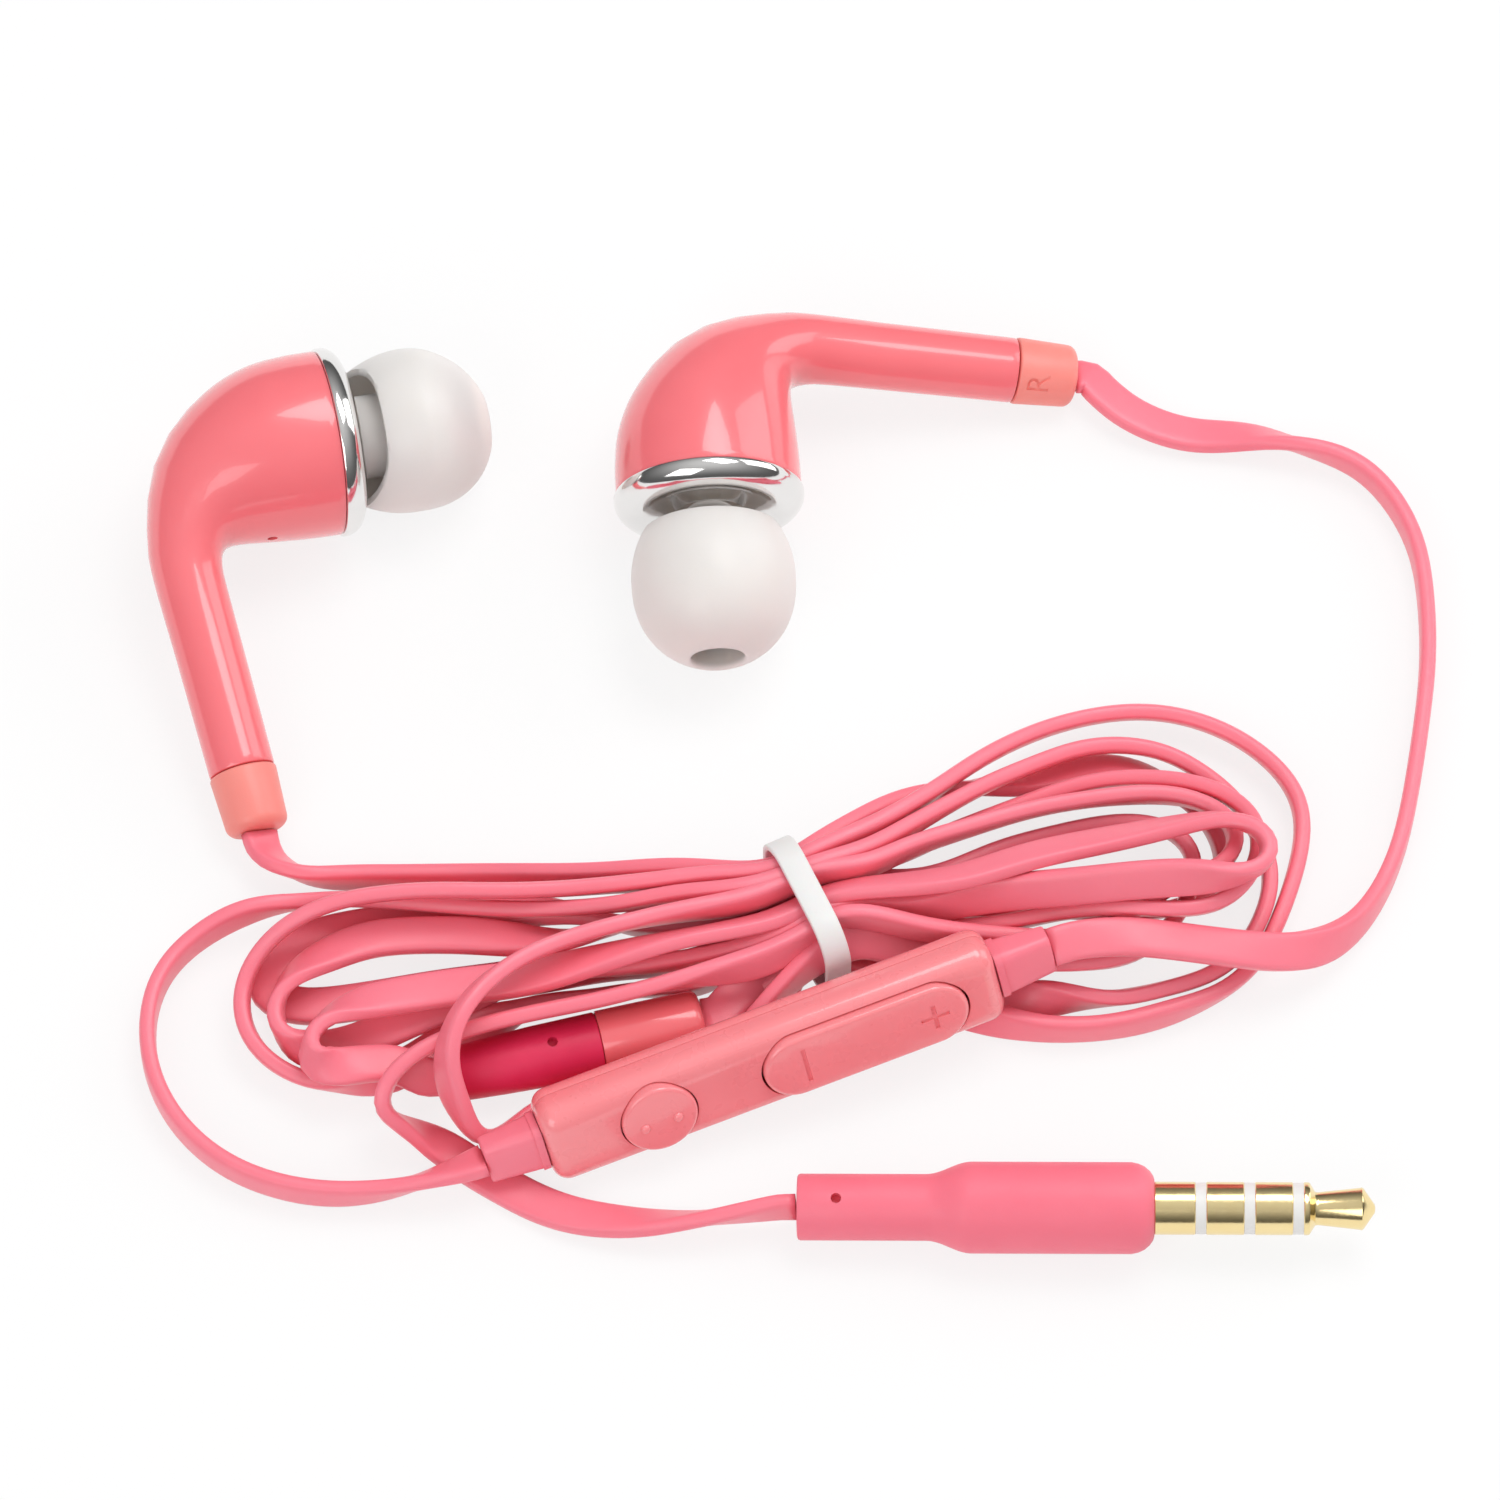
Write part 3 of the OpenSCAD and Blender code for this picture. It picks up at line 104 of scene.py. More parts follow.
main_route = [
    (-10.39, -36.67, 2.3, 45), (-11.31, -36.88, 2.3, 35), (-12.7, -37, 2.84, 60),
    (-14.4, -36.3, 3.2, 88), (-16.7, -36.5, 3.3, 85), (-18.7, -37, 3.6, 60), (-19.9, -36.7, 3.9, 20),
    (-20, -35.3, 4, 7), (-19.1, -34.1, 4, 20), (-17.7, -33.3, 4.1, 50), (-15.6, -32.7, 4.1, 75),
    (-12.6, -32.2, 4.1, 85), (-9.2, -31.8, 4.1, 85), (-5.6, -31.6, 4.3, 80), (-1.7, -30.9, 4.7, 65),
    (1.3, -30.2, 5.1, 50), (5.7, -29.1, 5.7, 35), (12.6, -27.5, 6.2, 40), (14.9, -26.4, 6.2, 40),
    (22.4, -26.3, 5.8, 50), (28.3, -24.4, 5.2, 55), (34.2, -22.5, 4.4, 50), (39.2, -21.3, 3.9, 35),
    (42.1, -21.3, 3.8, 20), (43.6, -22.5, 3.8, 13), (43.9, -23.9, 3.8, -8), (42.6, -25.2, 3.9, -22),
    (39.3, -25.8, 4, 30), (36.1, -26.2, 4, 40), (32.2, -26.7, 4, 40), (28.3, -26.8, 3.9, 35),
    (24.9, -27.1, 3.6, 30), (19.9, -28.2, 3.5, 10), (14.9, -27.7, 4.1, 0), (13.1, -28.6, 4.1, 0),
    (5.7, -30.3, 3.8, -12), (1.3, -31.4, 3.6, -23), (-3.2, -32.8, 2.9, -22), (-6.7, -34.7, 2.3, 45),
    (-9.7, -36.1, 1.95, 80), (-12.8, -37, 1.9, 88), (-16.1, -37.8, 1.6, 88), (-19, -37.7, 1.4, 55),
    (-20.8, -37, 1.4, 15), (-21.9, -35.5, 1.4, -10), (-22.2, -33.7, 1.5, -1), (-22, -32.2, 1.6, 15),
    (-21.3, -30.7, 2, 35), (-20, -29.5, 2.2, 60), (-18.2, -28.1, 2.3, 78), (-16.5, -27, 2.3, 85),
    (-13.8, -26.2, 2.3, 88), (-11.1, -25.8, 2.3, 88), (-8.4, -25.8, 2.3, 85), (-5.2, -26.1, 2.2, 60),
    (-1.5, -25.8, 2, 25), (1.8, -25.2, 2, 17), (7.2, -24.1, 1.7, 0), (10.2, -23.4, 2.3, 0),
    (12.9, -22.2, 2.3, 0), (17.9, -21.1, 1.8, 5), (24.7, -17.8, 1.6, 22), (30.5, -15.7, 1.6, 23),
    (34.5, -15.2, 1.6, 24), (38.5, -15.8, 1.6, 23), (41.1, -17, 1.6, 19), (42.9, -19.1, 1.6, 10),
    (43.1, -21.3, 1.6, -3), (42.3, -23.7, 1.5, -13), (40.2, -26, 1.5, -21), (36.7, -27.1, 1.5, -24),
    (29.9, -28, 1.6, -24), (22.6, -28.7, 1.7, -8), (13.9, -24.3, 1.5, 0), (11.2, -25.6, 1.5, 0),
    (5.9, -30, 1.6, -10), (-0.8, -31, 1.4, 20), (-6.1, -31.3, 0.9, 65), (-11.7, -31.2, 0.65, 88),
    (-17, -31.5, 0.65, 90), (-20.2, -31.5, 0.65, 90), (-22.2, -31, 0.65, 90), (-23.3, -29.7, 0.65, 88),
    (-22.9, -28.1, 0.65, 88), (-21.1, -26.6, 0.65, 88), (-18.4, -25.5, 0.65, 88),
    (-14.3, -24.8, 0.65, 88), (-10.2, -24.3, 0.65, 88), (-5.5, -24.6, 0.9, 70), (-0.9, -25.2, 1.4, 25),
    (5.8, -25.1, 1.6, 5), (10.7, -24.5, 1.7, 0), (13.4, -23.3, 1.7, 0), (20.5, -23.3, 2.2, 9),
    (26.5, -20.4, 1.8, 22), (32.5, -18.8, 1.6, 24), (36.2, -18.8, 1.6, 24), (38.8, -20.1, 1.6, 17),
    (39.8, -22.3, 1.6, 2), (39.2, -25.2, 1.5, -10), (36.8, -28.4, 1.5, -20), (33.4, -29.3, 1.5, -24),
    (29.9, -29.5, 1.5, -24), (26, -30.6, 1.4, 70), (20.8, -30.9, 2.3, 60), (15.6, -31.9, 1.8, 10),
    (11, -33.6, 1.5, 0), (6, -35.7, 1.4, -19), (2.5, -36.8, 1.4, -22), (-3.3, -39.2, 1.4, -22),
    (-5.1, -40.2, 1.5, -20), (-6.8, -41.7, 1.5, -21), (-8.4, -42, 1.6, -23), (-9.8, -40.6, 2.2, -15),
    (-10.8, -39.1, 3.6, 20), (-11.3, -37.4, 5.2, 25), (-10.4, -34.9, 6.2, 25), (-8.5, -32.6, 6.5, 25),
    (-5.8, -30.6, 6.5, 20), (-2.6, -29.2, 6.5, 22), (-0.2, -28.2, 6.1, 23), (4.3, -27.3, 6.3, 12),
    (8.7, -26.7, 6.4, 0), (12.3, -25.5, 6.3, 0), (13.6, -24.9, 6.3, 0), (16.5, -25.3, 6.2, 0),
    (20.5, -22.8, 5.5, 9), (24.4, -20.5, 4.8, 15), (28.4, -18.6, 4.2, 20), (32.4, -17.6, 3.8, 20),
    (36.3, -17.4, 3.4, 15), (39.3, -18.2, 2.9, 21), (40.9, -19.9, 2.6, 11), (41.3, -22.3, 2.4, -6),
    (39.7, -24.8, 2.2, -18), (36.7, -26.3, 2, -22), (29.9, -29, 1.6, -23), (22.6, -29.7, 1.6, -6),
    (15.5, -28.9, 2.5, 0), (13.7, -29.7, 2.5, 0), (9.9, -31.9, 3.8, 20), (4.3, -32.6, 3.8, -21),
    (-0.2, -33.4, 3.7, -24), (-4.6, -34.1, 3.8, -24), (-9, -35.1, 4.2, -23), (-11.7, -36.2, 4.4, -21),
    (-13.3, -37.4, 4.5, -17), (-14.6, -39.1, 4.2, -10), (-14.5, -40.2, 3.2, 20),
    (-12.6, -40.4, 2.2, 40), (-11.3, -40.8, 1.4, 65), (-9.6, -41.8, 0.9, 85), (-8.3, -42.7, 0.75, 90),
    (-6.8, -43.6, 0.75, 90), (-5, -44.6, 0.75, 90), (-3.2, -45.5, 0.8, 85), (0.8, -46.5, 1.1, 65),
    (4.9, -46.8, 1.7, 35), (8.9, -46.6, 2.3, 10), (11.42, -46.43, 2.62, 0), (12.22, -46.45, 2.65, 0),
]


def spline(points, step):
    """A smooth curve through the points, with a point about every step of its length."""
    points = np.array(points, float)
    padded = np.vstack([2 * points[0] - points[1], points, 2 * points[-1] - points[-2]])
    fine = []
    for a, b, c, d in zip(padded, padded[1:], padded[2:], padded[3:]):
        t = np.linspace(0, 1, 12, endpoint=False)[:, None]
        fine.append((2 * b + (c - a) * t + (2 * a - 5 * b + 4 * c - d) * t ** 2
                     + (3 * b - a - 3 * c + d) * t ** 3) / 2)
    fine = np.vstack(fine + [points[-1:]])
    return even(fine, step)


def even(points, step):
    """The same line with its points evenly spaced."""
    gaps = np.linalg.norm(np.diff(points[:, :3], axis=0), axis=1)
    along = np.concatenate([[0], np.cumsum(gaps)])
    places = np.linspace(0, along[-1], max(2, round(along[-1] / step) + 1))
    return np.stack([np.interp(places, along, column) for column in points.T], axis=1)


def soften(values, times, fixed=3):
    """Evens out a run of values; the first and last few stay where they are."""
    values = values.copy()
    for _ in range(times):
        middle = (values[:-2] + 2 * values[1:-1] + values[2:]) / 4
        values[fixed:-fixed] = middle[fixed - 1:len(middle) - fixed + 1]
    return values


def iron(values, times):
    """Takes small waves out of a run of values without shrinking its loops."""
    for _ in range(times):
        values = soften(values, 1)
        values = values - 1.04 * (soften(values, 1) - values)
    return values


def band_frames(line):
    """Along, broad and thin directions of the flat cable at each point of a line."""
    along = np.gradient(line[:, :3], axis=0)
    along /= np.linalg.norm(along, axis=1)[:, None]
    side = np.cross(along, (0, 0, 1))
    side /= np.linalg.norm(side, axis=1)[:, None]
    up = np.cross(side, along)
    roll = np.radians(line[:, 3:4])
    broad = up * np.cos(roll) + side * np.sin(roll)
    return along, broad, np.cross(broad, along)


def local_axes(turn, rise, lean):
    """The axes of a part that is leaned about X, raised about Y and turned about Z."""
    turn, rise, lean = map(math.radians, (turn, rise, lean))
    return np.array(Matrix.Rotation(turn, 3, "Z") @ Matrix.Rotation(rise, 3, "Y")
                    @ Matrix.Rotation(lean, 3, "X"))


# What the cable lies against: middle, axes and half sizes of the splitter, of the remote's
# case and of the sleeves at its ends
splitter_turn = 13.3
remote_at, remote_turns = np.array([10.4, -36.3, 4.75]), (20.5, -4.6, 65)
remote_axes = local_axes(*remote_turns)
obstacles = [(np.array([-2.17, -34.72, 2.3]), local_axes(splitter_turn, 0, 0), (8.5, 2.15, 2.15)),
             (remote_at, remote_axes, (16.1, 3.3, 2.2))]
for to_sleeve in (18, -18):
    obstacles.append((remote_at + to_sleeve * remote_axes[:, 0], remote_axes, (2.1, 1.7, 1.2)))
point_gap = 1.1


def settle(lines, rounds):
    """Pushes the runs of cable apart, off the table and off what lies among them."""
    clearance = 0.02    # kept all round a run
    touch_range = 3.4   # points further apart can't touch
    same_bend = 7       # points this near along one run belong to one bend
    in_socket = 5       # points at each end that may be inside what holds them
    tie_along, tie_across = 3.6, 9   # how far from its middle the tie squeezes
    run_share, case_share, tie_share = 0.2, 0.4, 1.4   # of an overlap, undone in one round
    longest_push, carried = 0.4, 1.5
    counts = [len(line) for line in lines]
    starts = np.concatenate([[0], np.cumsum(counts)])
    owner = np.repeat(range(len(lines)), counts)
    place = np.concatenate([np.arange(count) for count in counts])
    held = np.minimum(place, np.repeat(counts, counts) - 1 - place)
    loose = np.clip((held - 2) / 4, 0, 1)[:, None]
    half = np.array([cable_w / 2, cable_t / 2]) + clearance
    upward = np.array([0, 0, 1.0])
    tie_axes = local_axes(tie_turn, 0, 0)
    rest = [line[:, :3].copy() for line in lines]
    moved = [np.zeros_like(line) for line in rest]
    for _ in range(rounds):
        at = np.concatenate([line[:, :3] for line in lines])
        frames = [band_frames(line) for line in lines]
        along, broad, thin = (np.concatenate(part) for part in zip(*frames))

        def reach(direction, rows=slice(None)):
            return (half[0] * abs((broad[rows] * direction).sum(-1))
                    + half[1] * abs((thin[rows] * direction).sum(-1))
                    + point_gap / 2 * abs((along[rows] * direction).sum(-1)))

        push = np.zeros_like(at)
        i, j = np.nonzero(np.triu(
            ((at[:, None] - at[None]) ** 2).sum(-1) < touch_range ** 2, 1))
        apart = (owner[i] != owner[j]) | (abs(place[i] - place[j]) > same_bend)
        i, j = i[apart], j[apart]
        between = at[j] - at[i]
        least = np.full(len(i), 9.0)
        chosen = np.zeros_like(between)
        for axes, movable in ((broad[i], 1), (thin[i], 1), (broad[j], 1), (thin[j], 1),
                              (along[i], 0), (along[j], 0)):
            offset = (between * axes).sum(-1)
            overlap = reach(axes, i) + reach(axes, j) - abs(offset)
            if movable:
                better = overlap < least
                chosen[better] = (axes * np.where(offset < 0, -1, 1)[:, None])[better]
                least = np.minimum(least, overlap)
            else:
                least[overlap < 0] = -1
        # Runs that cross are moved up and down, and the others to their nearest free side
        crossing = abs((along[i] * along[j]).sum(-1)) < 0.8
        stacked = reach(upward, i) + reach(upward, j) - abs(between[:, 2])
        chosen[crossing] = upward * np.where(between[:, 2] < 0, -1, 1)[crossing, None]
        least[crossing] = np.where(least[crossing] > 0, stacked[crossing], -1)
        touching = least > 0
        amount = (chosen * least[:, None])[touching] * run_share
        np.add.at(push, j[touching], amount)
        np.add.at(push, i[touching], -amount)
        for middle, axes, size in obstacles:
            offset = (at - middle) @ axes
            free = np.stack([size[k] + reach(axes[:, k]) - abs(offset[:, k])
                             for k in range(3)], axis=1)
            inside = (free > 0).all(axis=1) & (held > in_socket)
            k = 1 + (free[:, 2] < free[:, 1])
            for row in np.nonzero(inside)[0]:
                out = math.copysign(free[row, k[row]], offset[row, k[row]])
                push[row] += axes[:, k[row]] * out * case_share
        offset = (at - tie_at) @ tie_axes
        near = (abs(offset[:, 0]) < tie_along) & (abs(offset[:, 1]) < tie_across)
        for k, size in ((1, tie_inner[0] / 2), (2, tie_inner[1] / 2)):
            over = abs(offset[:, k]) + reach(tie_axes[:, k]) - size + 0.05
            rows = near & (over > 0)
            push[rows] -= (tie_axes[:, k] * (np.sign(offset[:, k]) * over)[rows, None]
                           * tie_share)
        past = np.stack([abs(offset[:, k]) + reach(tie_axes[:, k]) - 0.1
                         for k in (1, 2)], axis=1) - tie_inner / 2 + tie_corner
        beyond = np.linalg.norm(past, axis=1) - tie_corner
        rows = near & (past > 0).all(axis=1) & (beyond > 0)
        inward = past * np.sign(offset[:, 1:]) * (beyond / (beyond + tie_corner))[:, None]
        push[rows] -= (inward @ tie_axes[:, 1:].T)[rows] * tie_share
        push *= loose
        size = np.linalg.norm(push, axis=1)[:, None]
        push *= np.minimum(1, longest_push / np.maximum(size, 1e-6))
        for k, line in enumerate(lines):
            own = slice(starts[k], starts[k + 1])
            moved[k] += carried * soften(push[own], 10, 2)
            moved[k] = soften(moved[k], 2, 2)
            line[:, :3] = rest[k] + moved[k]
            lift = np.maximum(reach(upward, own) + clearance - line[:, 2], 0)
            lift[:3] = lift[-3:] = 0
            moved[k][:, 2] += lift
            line[:, 2] += lift
    return lines


class Value:
    """A socket of a material that can be used in an expression."""

    def __init__(self, socket):
        self.socket = socket

    def maths(self, kind, first, second):
        """Adds a Math node on two values or numbers."""
        node = self.socket.node.id_data.nodes.new("ShaderNodeMath")
        node.operation = kind
        feed(node.inputs[0], first)
        feed(node.inputs[1], second)
        return Value(node.outputs[0])

    def __add__(self, other):
        return self.maths("ADD", self, other)

    def __sub__(self, other):
        return self.maths("SUBTRACT", self, other)

    def __rsub__(self, other):
        return self.maths("SUBTRACT", other, self)

    def __mul__(self, other):
        return self.maths("MULTIPLY", self, other)

    __radd__, __rmul__ = __add__, __mul__


def feed(place, value):
    """Links a value to a socket, or sets a number or colour on it."""
    if isinstance(value, Value):
        place.node.id_data.links.new(value.socket, place)
    else:
        place.default_value = value


class Finish:
    """A material, its shader's own numbers and the nodes that vary it over the surface."""

    def __init__(self, name, **numbers):
        self.material = bpy.data.materials.new(name)
        self.material.use_nodes = True
        self.tree = self.material.node_tree
        self.shader = self.tree.nodes["Principled BSDF"]
        self.vary(**numbers)

    def node(self, kind, settings=(), **sockets):
        """Adds a node with its settings and the values or links of its sockets."""
        node = self.tree.nodes.new("ShaderNode" + kind)
        for setting, value in dict(settings).items():
            setattr(node, setting, value)
        for socket, value in sockets.items():
            feed(node.inputs[socket], value)
        return node

    def vary(self, **sockets):
        """Sets or links the shader's sockets."""
        for socket, value in sockets.items():
            feed(self.shader.inputs[socket.replace("_", " ")], value)

    def mottle(self, low, high, size, rough, *bumps):
        """A colour between two in blotches of a size, and roughness from a base and a span.

        Roughness and each bump, in millimetres, end with the size of their own blotches.
        """
        spot = Value(self.node("TexCoord").outputs["Object"])
        spot = Value(self.node("VectorMath", {"operation": "SCALE"}, Vector=spot,
                               Scale=1 / mm).outputs["Vector"])

        def noise(blotch):
            return Value(self.node("TexNoise", Vector=spot, Scale=1 / blotch).outputs["Fac"])

        colour = self.node("Mix", {"data_type": "RGBA"}, Factor=noise(size))
        feed(colour.inputs[6], (*low, 1))
        feed(colour.inputs[7], (*high, 1))
        self.vary(Base_Color=Value(colour.outputs[2]),
                  Roughness=rough[0] + rough[1] * noise(rough[2]))
        heights = [height * noise(blotch) for height, blotch in bumps]
        if heights:
            bump = self.node("Bump", Distance=mm, Height=sum(heights[1:], heights[0]))
            self.vary(Normal=Value(bump.outputs["Normal"]))
        return self


def waxy(name, ior, weight, radius=(1.0, 0.35, 0.3), depth=1.0, **numbers):
    """A finish that light sinks into, by a depth in millimetres."""
    return Finish(name, IOR=ior, Subsurface_Weight=weight, Subsurface_Radius=radius,
                  Subsurface_Scale=depth * mm, **numbers)


cable_skin = waxy("cable_skin", 1.48, 0.12, depth=0.8).mottle(
    (0.89, 0.19, 0.255), (0.95, 0.225, 0.295), 6, (0.26, 0.14, 0.6), (0.012, 0.09), (0.03, 1.8))


def only(piece):
    """Selects one piece alone and makes it the active one."""
    bpy.ops.object.select_all(action="DESELECT")
    bpy.context.view_layer.objects.active = piece
    piece.select_set(True)


def editing(on):
    """Goes into edit mode or out of it."""
    bpy.ops.object.mode_set(mode="EDIT" if on else "OBJECT")


def face_out(piece, merge=0):
    """Merges points that are nearer than a distance, and turns the faces outwards."""
    only(piece)
    editing(True)
    bpy.ops.mesh.select_all(action="SELECT")
    if merge:
        bpy.ops.mesh.remove_doubles(threshold=merge)
    bpy.ops.mesh.normals_make_consistent(inside=False)
    editing(False)


def cable_mesh(name, line):
    """A closed band with rounded edges along a line of settled points."""
    ring_gap, sides, squareness = 0.55, 24, 0.48
    line = even(spline(line, 0.3), ring_gap)
    along, broad, thin = band_frames(line)
    angles = np.arange(sides) * math.tau / sides
    across, depth = (np.sign(wave) * abs(wave) ** squareness * size / 2
                     for wave, size in ((np.cos(angles), cable_w), (np.sin(angles), cable_t)))
    rings = (line[:, None, :3] + across[:, None] * broad[:, None]
             + depth[:, None] * thin[:, None]) * mm
    last = (len(rings) - 1) * sides
    faces = [(i + j, i + (j + 1) % sides, i + sides + (j + 1) % sides, i + sides + j)
             for i in range(0, last, sides) for j in range(sides)]
    faces += [tuple(range(sides))[::-1], tuple(range(last, last + sides))]
    mesh = bpy.data.meshes.new(name)
    mesh.from_pydata(rings.reshape(-1, 3).tolist(), [], faces)
    mesh.polygons.foreach_set("use_smooth", [True] * len(faces))
    mesh.materials.append(cable_skin.material)
    piece = bpy.data.objects.new(name, mesh)
    bpy.context.collection.objects.link(piece)
    face_out(piece)
    return piece, line[:, :3] * mm


ironings, rounds = 14, 160
lines = settle([iron(spline(route, point_gap), ironings)
                for route in (left_route, right_route, lower_route, main_route)], rounds)
for name, line, far_end, parts, stood_for in (
        ("left_cable", lines[0], "fitting", ["splitter_shell"], ["left_lead"]),
        ("right_cable", lines[1], "fitting", ["remote_right_sleeve"], ["right_lead"]),
        ("remote_cable", lines[2], "fitting", ["splitter_shell"], ["remote_lead"]),
        ("main_cable", lines[3], "plug", ["plug_handle"], ["main_lead", "cable_hank"])):
    piece, path = cable_mesh(name, line)
    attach(piece, "set")
    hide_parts(*stood_for)


# ---- Earpiece housings: glossy coral shells, bent into a stem at the back ----
# Each is one hollow moulding with a vent hole underneath. Local X runs out to the ear and
# local -Y down the stem; the right one is the left one mirrored.
housing_d, stem_back, stem_d, stem_reach = 12.7, 11.1, 4.7, 22
stem_splay = math.radians(4)
stem_taper = 0.1
front, back = stem_back - stem_d / 2, stem_back + stem_d / 2
# Shares of the bend's reach and of the diameter, for the inner and the outer side of a ring
bend = [(0, 0, 0, 0), (0.27, 0.004, 0.17, 0.002), (0.54, 0.016, 0.36, 0.03),
        (0.79, 0.028, 0.56, 0.12), (0.92, 0.016, 0.77, 0.295), (0.98, -0.03, 0.915, 0.525),
        (1, -0.095, 0.985, 0.79), (1, -0.18, 1.01, 1.04)]
stem_from = housing_d * 0.68
stem_end = np.array([-stem_back + (stem_reach - stem_from) * math.tan(stem_splay), -stem_reach])
shell_rows = [(-front * a, -housing_d / 2 + housing_d * b, 0,
               -back * c, housing_d / 2 - housing_d * d) for a, b, c, d in bend]
for share in (0.35, 0.65, 1):
    middle = (1 - share) * np.array([-stem_back, -stem_from]) + share * stem_end
    r = stem_d / 2 - stem_taper * share
    across = r * np.array([math.cos(stem_splay), math.sin(stem_splay)])
    shell_rows.append((*(middle + across), 0, *(middle - across)))

# Each earpiece rests on the rim of its cover, rolled over to one side
ear_tilt, ear_roll = 5.5, 12
ear_z = 6.5 * math.cos(math.radians(ear_tilt)) + 0.85 * math.sin(math.radians(ear_tilt))


def placing(at, *turns):
    """The matrix that puts a part made in millimetres at its own origin in its place."""
    return (Matrix.Translation(Vector(at) * mm) @ Matrix(local_axes(*turns)).to_4x4()
            @ Matrix.Scale(mm, 4))


ears = {
    "left": placing((-19.7, 8.9, ear_z), 13.2, ear_tilt, ear_roll),
    "right": (placing((6.4, 4.95, ear_z), -87, ear_tilt, -ear_roll)
              @ Matrix.Diagonal((1, -1, 1, 1))),
}


def place_in_mesh():
    """Moves the place, turn and size of what is selected into its mesh."""
    bpy.ops.object.transform_apply(location=True, rotation=True, scale=True)


def round_bar(name, rings, sides=72, ends=(False, False)):
    """Draws a ring from place to place. Each ring is x, y, its radius and the way it faces."""
    x, y, r, facing = rings[0]
    bpy.ops.object.select_all(action="DESELECT")
    bpy.ops.mesh.primitive_circle_add(
        vertices=sides, radius=r, location=(x, y, 0), rotation=(0, math.pi / 2, facing))
    piece = bpy.context.object
    piece.name = name
    place_in_mesh()
    editing(True)
    bpy.ops.mesh.select_all(action="SELECT")
    if ends[0]:
        bpy.ops.mesh.edge_face_add()
        bpy.ops.mesh.select_mode(type="EDGE")
        bpy.ops.mesh.select_all(action="SELECT")
    for a, b in zip(rings, rings[1:]):
        bpy.ops.mesh.extrude_edges_move(
            TRANSFORM_OT_translate={"value": (b[0] - a[0], b[1] - a[1], 0)})
        middle = (b[0], b[1], 0)
        if b[3] != a[3]:
            bpy.ops.transform.rotate(value=a[3] - b[3], orient_axis="Z", center_override=middle)
        if b[2] != a[2]:
            bpy.ops.transform.resize(value=(b[2] / a[2],) * 3, center_override=middle)
    if ends[1]:
        bpy.ops.mesh.edge_face_add()
    editing(False)
    face_out(piece, 0.0005)
    return piece


def turned(name, profile, sides=72, ends=(True, True)):
    """A part turned on local X from x and radius pairs."""
    return round_bar(name, [(x, 0, r, 0) for x, r in profile], sides, ends)


def modify(piece, kind, **settings):
    """Adds a modifier and applies it at once."""
    only(piece)
    change = piece.modifiers.new(kind.lower(), kind)
    for setting, value in settings.items():
        setattr(change, setting, value)
    bpy.ops.object.modifier_apply(modifier=change.name)
    return piece


def cut(piece, tool, operation="DIFFERENCE"):
    """Takes a tool's shape out of a piece, and removes the tool."""
    modify(piece, "BOOLEAN", operation=operation, object=tool, solver="EXACT")
    bpy.data.objects.remove(tool)
    return piece


def twin(piece, name):
    """A copy with its own mesh."""
    other = piece.copy()
    other.data = piece.data.copy()
    other.name = name
    bpy.context.collection.objects.link(other)
    return other


def fit(piece, matrix, finish, stood_for, body="set", angle=40):
    """Puts a part in its place with its place in its mesh, its finish and its body."""
    piece.matrix_world = matrix
    only(piece)
    place_in_mesh()
    face_out(piece)
    bpy.ops.object.shade_smooth_by_angle(angle=math.radians(angle))
    piece.data.materials.clear()
    piece.data.materials.append(finish.material)
    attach(piece, body)
    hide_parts(*stood_for)
    return piece


def rod(radius, depth, at, sides=32, turn=(0, 0, 0)):
    """A cylinder in millimetres, to cut or to add."""
    bpy.ops.mesh.primitive_cylinder_add(vertices=sides, radius=radius, depth=depth,
                                        location=at, rotation=turn)
    return bpy.context.object


def ease(piece, width, segments, angle=50):
    """Rounds all the edges that turn by more than an angle."""
    modify(piece, "BEVEL", width=width, segments=segments, limit_method="ANGLE",
           angle_limit=math.radians(angle))


def moulded_gloss(name, low, high, coat_roughness, roughness):
    """Hard glossy plastic with faint sink marks and a fine grain."""
    return waxy(name, 1.5, 0.1, Coat_Weight=0.7, Coat_Roughness=coat_roughness).mottle(
        low, high, 5, (roughness, 0.08, 1.2), (0.006, 2.5), (0.0015, 0.12))


coral_gloss = moulded_gloss("coral_gloss", (0.9, 0.165, 0.19), (0.94, 0.19, 0.215), 0.04, 0.2)
housing_wall, vent_r = 0.8, 0.35
rows = spline(shell_rows, 0.55)
middles = (rows[:, :2] + rows[:, 3:5]) / 2
spans = rows[:, 3:5] - rows[:, :2]
facings = np.arctan2(spans[:, 1], spans[:, 0]) - math.pi / 2
housing = round_bar("left_shell", [
    (*middle, np.linalg.norm(span) / 2, facing)
    for middle, span, facing in zip(middles, spans, facings)])
modify(housing, "SOLIDIFY", thickness=housing_wall, offset=-1, use_rim=True)
ease(housing, 0.12, 2)
cut(housing, rod(vent_r, 3, (-stem_back * 0.45, -housing_d / 2, 0), turn=(math.pi / 2, 0, 0)))
right_housing = twin(housing, "right_shell")
for side, shell in (("left", housing), ("right", right_housing)):
    fit(shell, ears[side], coral_gloss, [side + "_housing"])

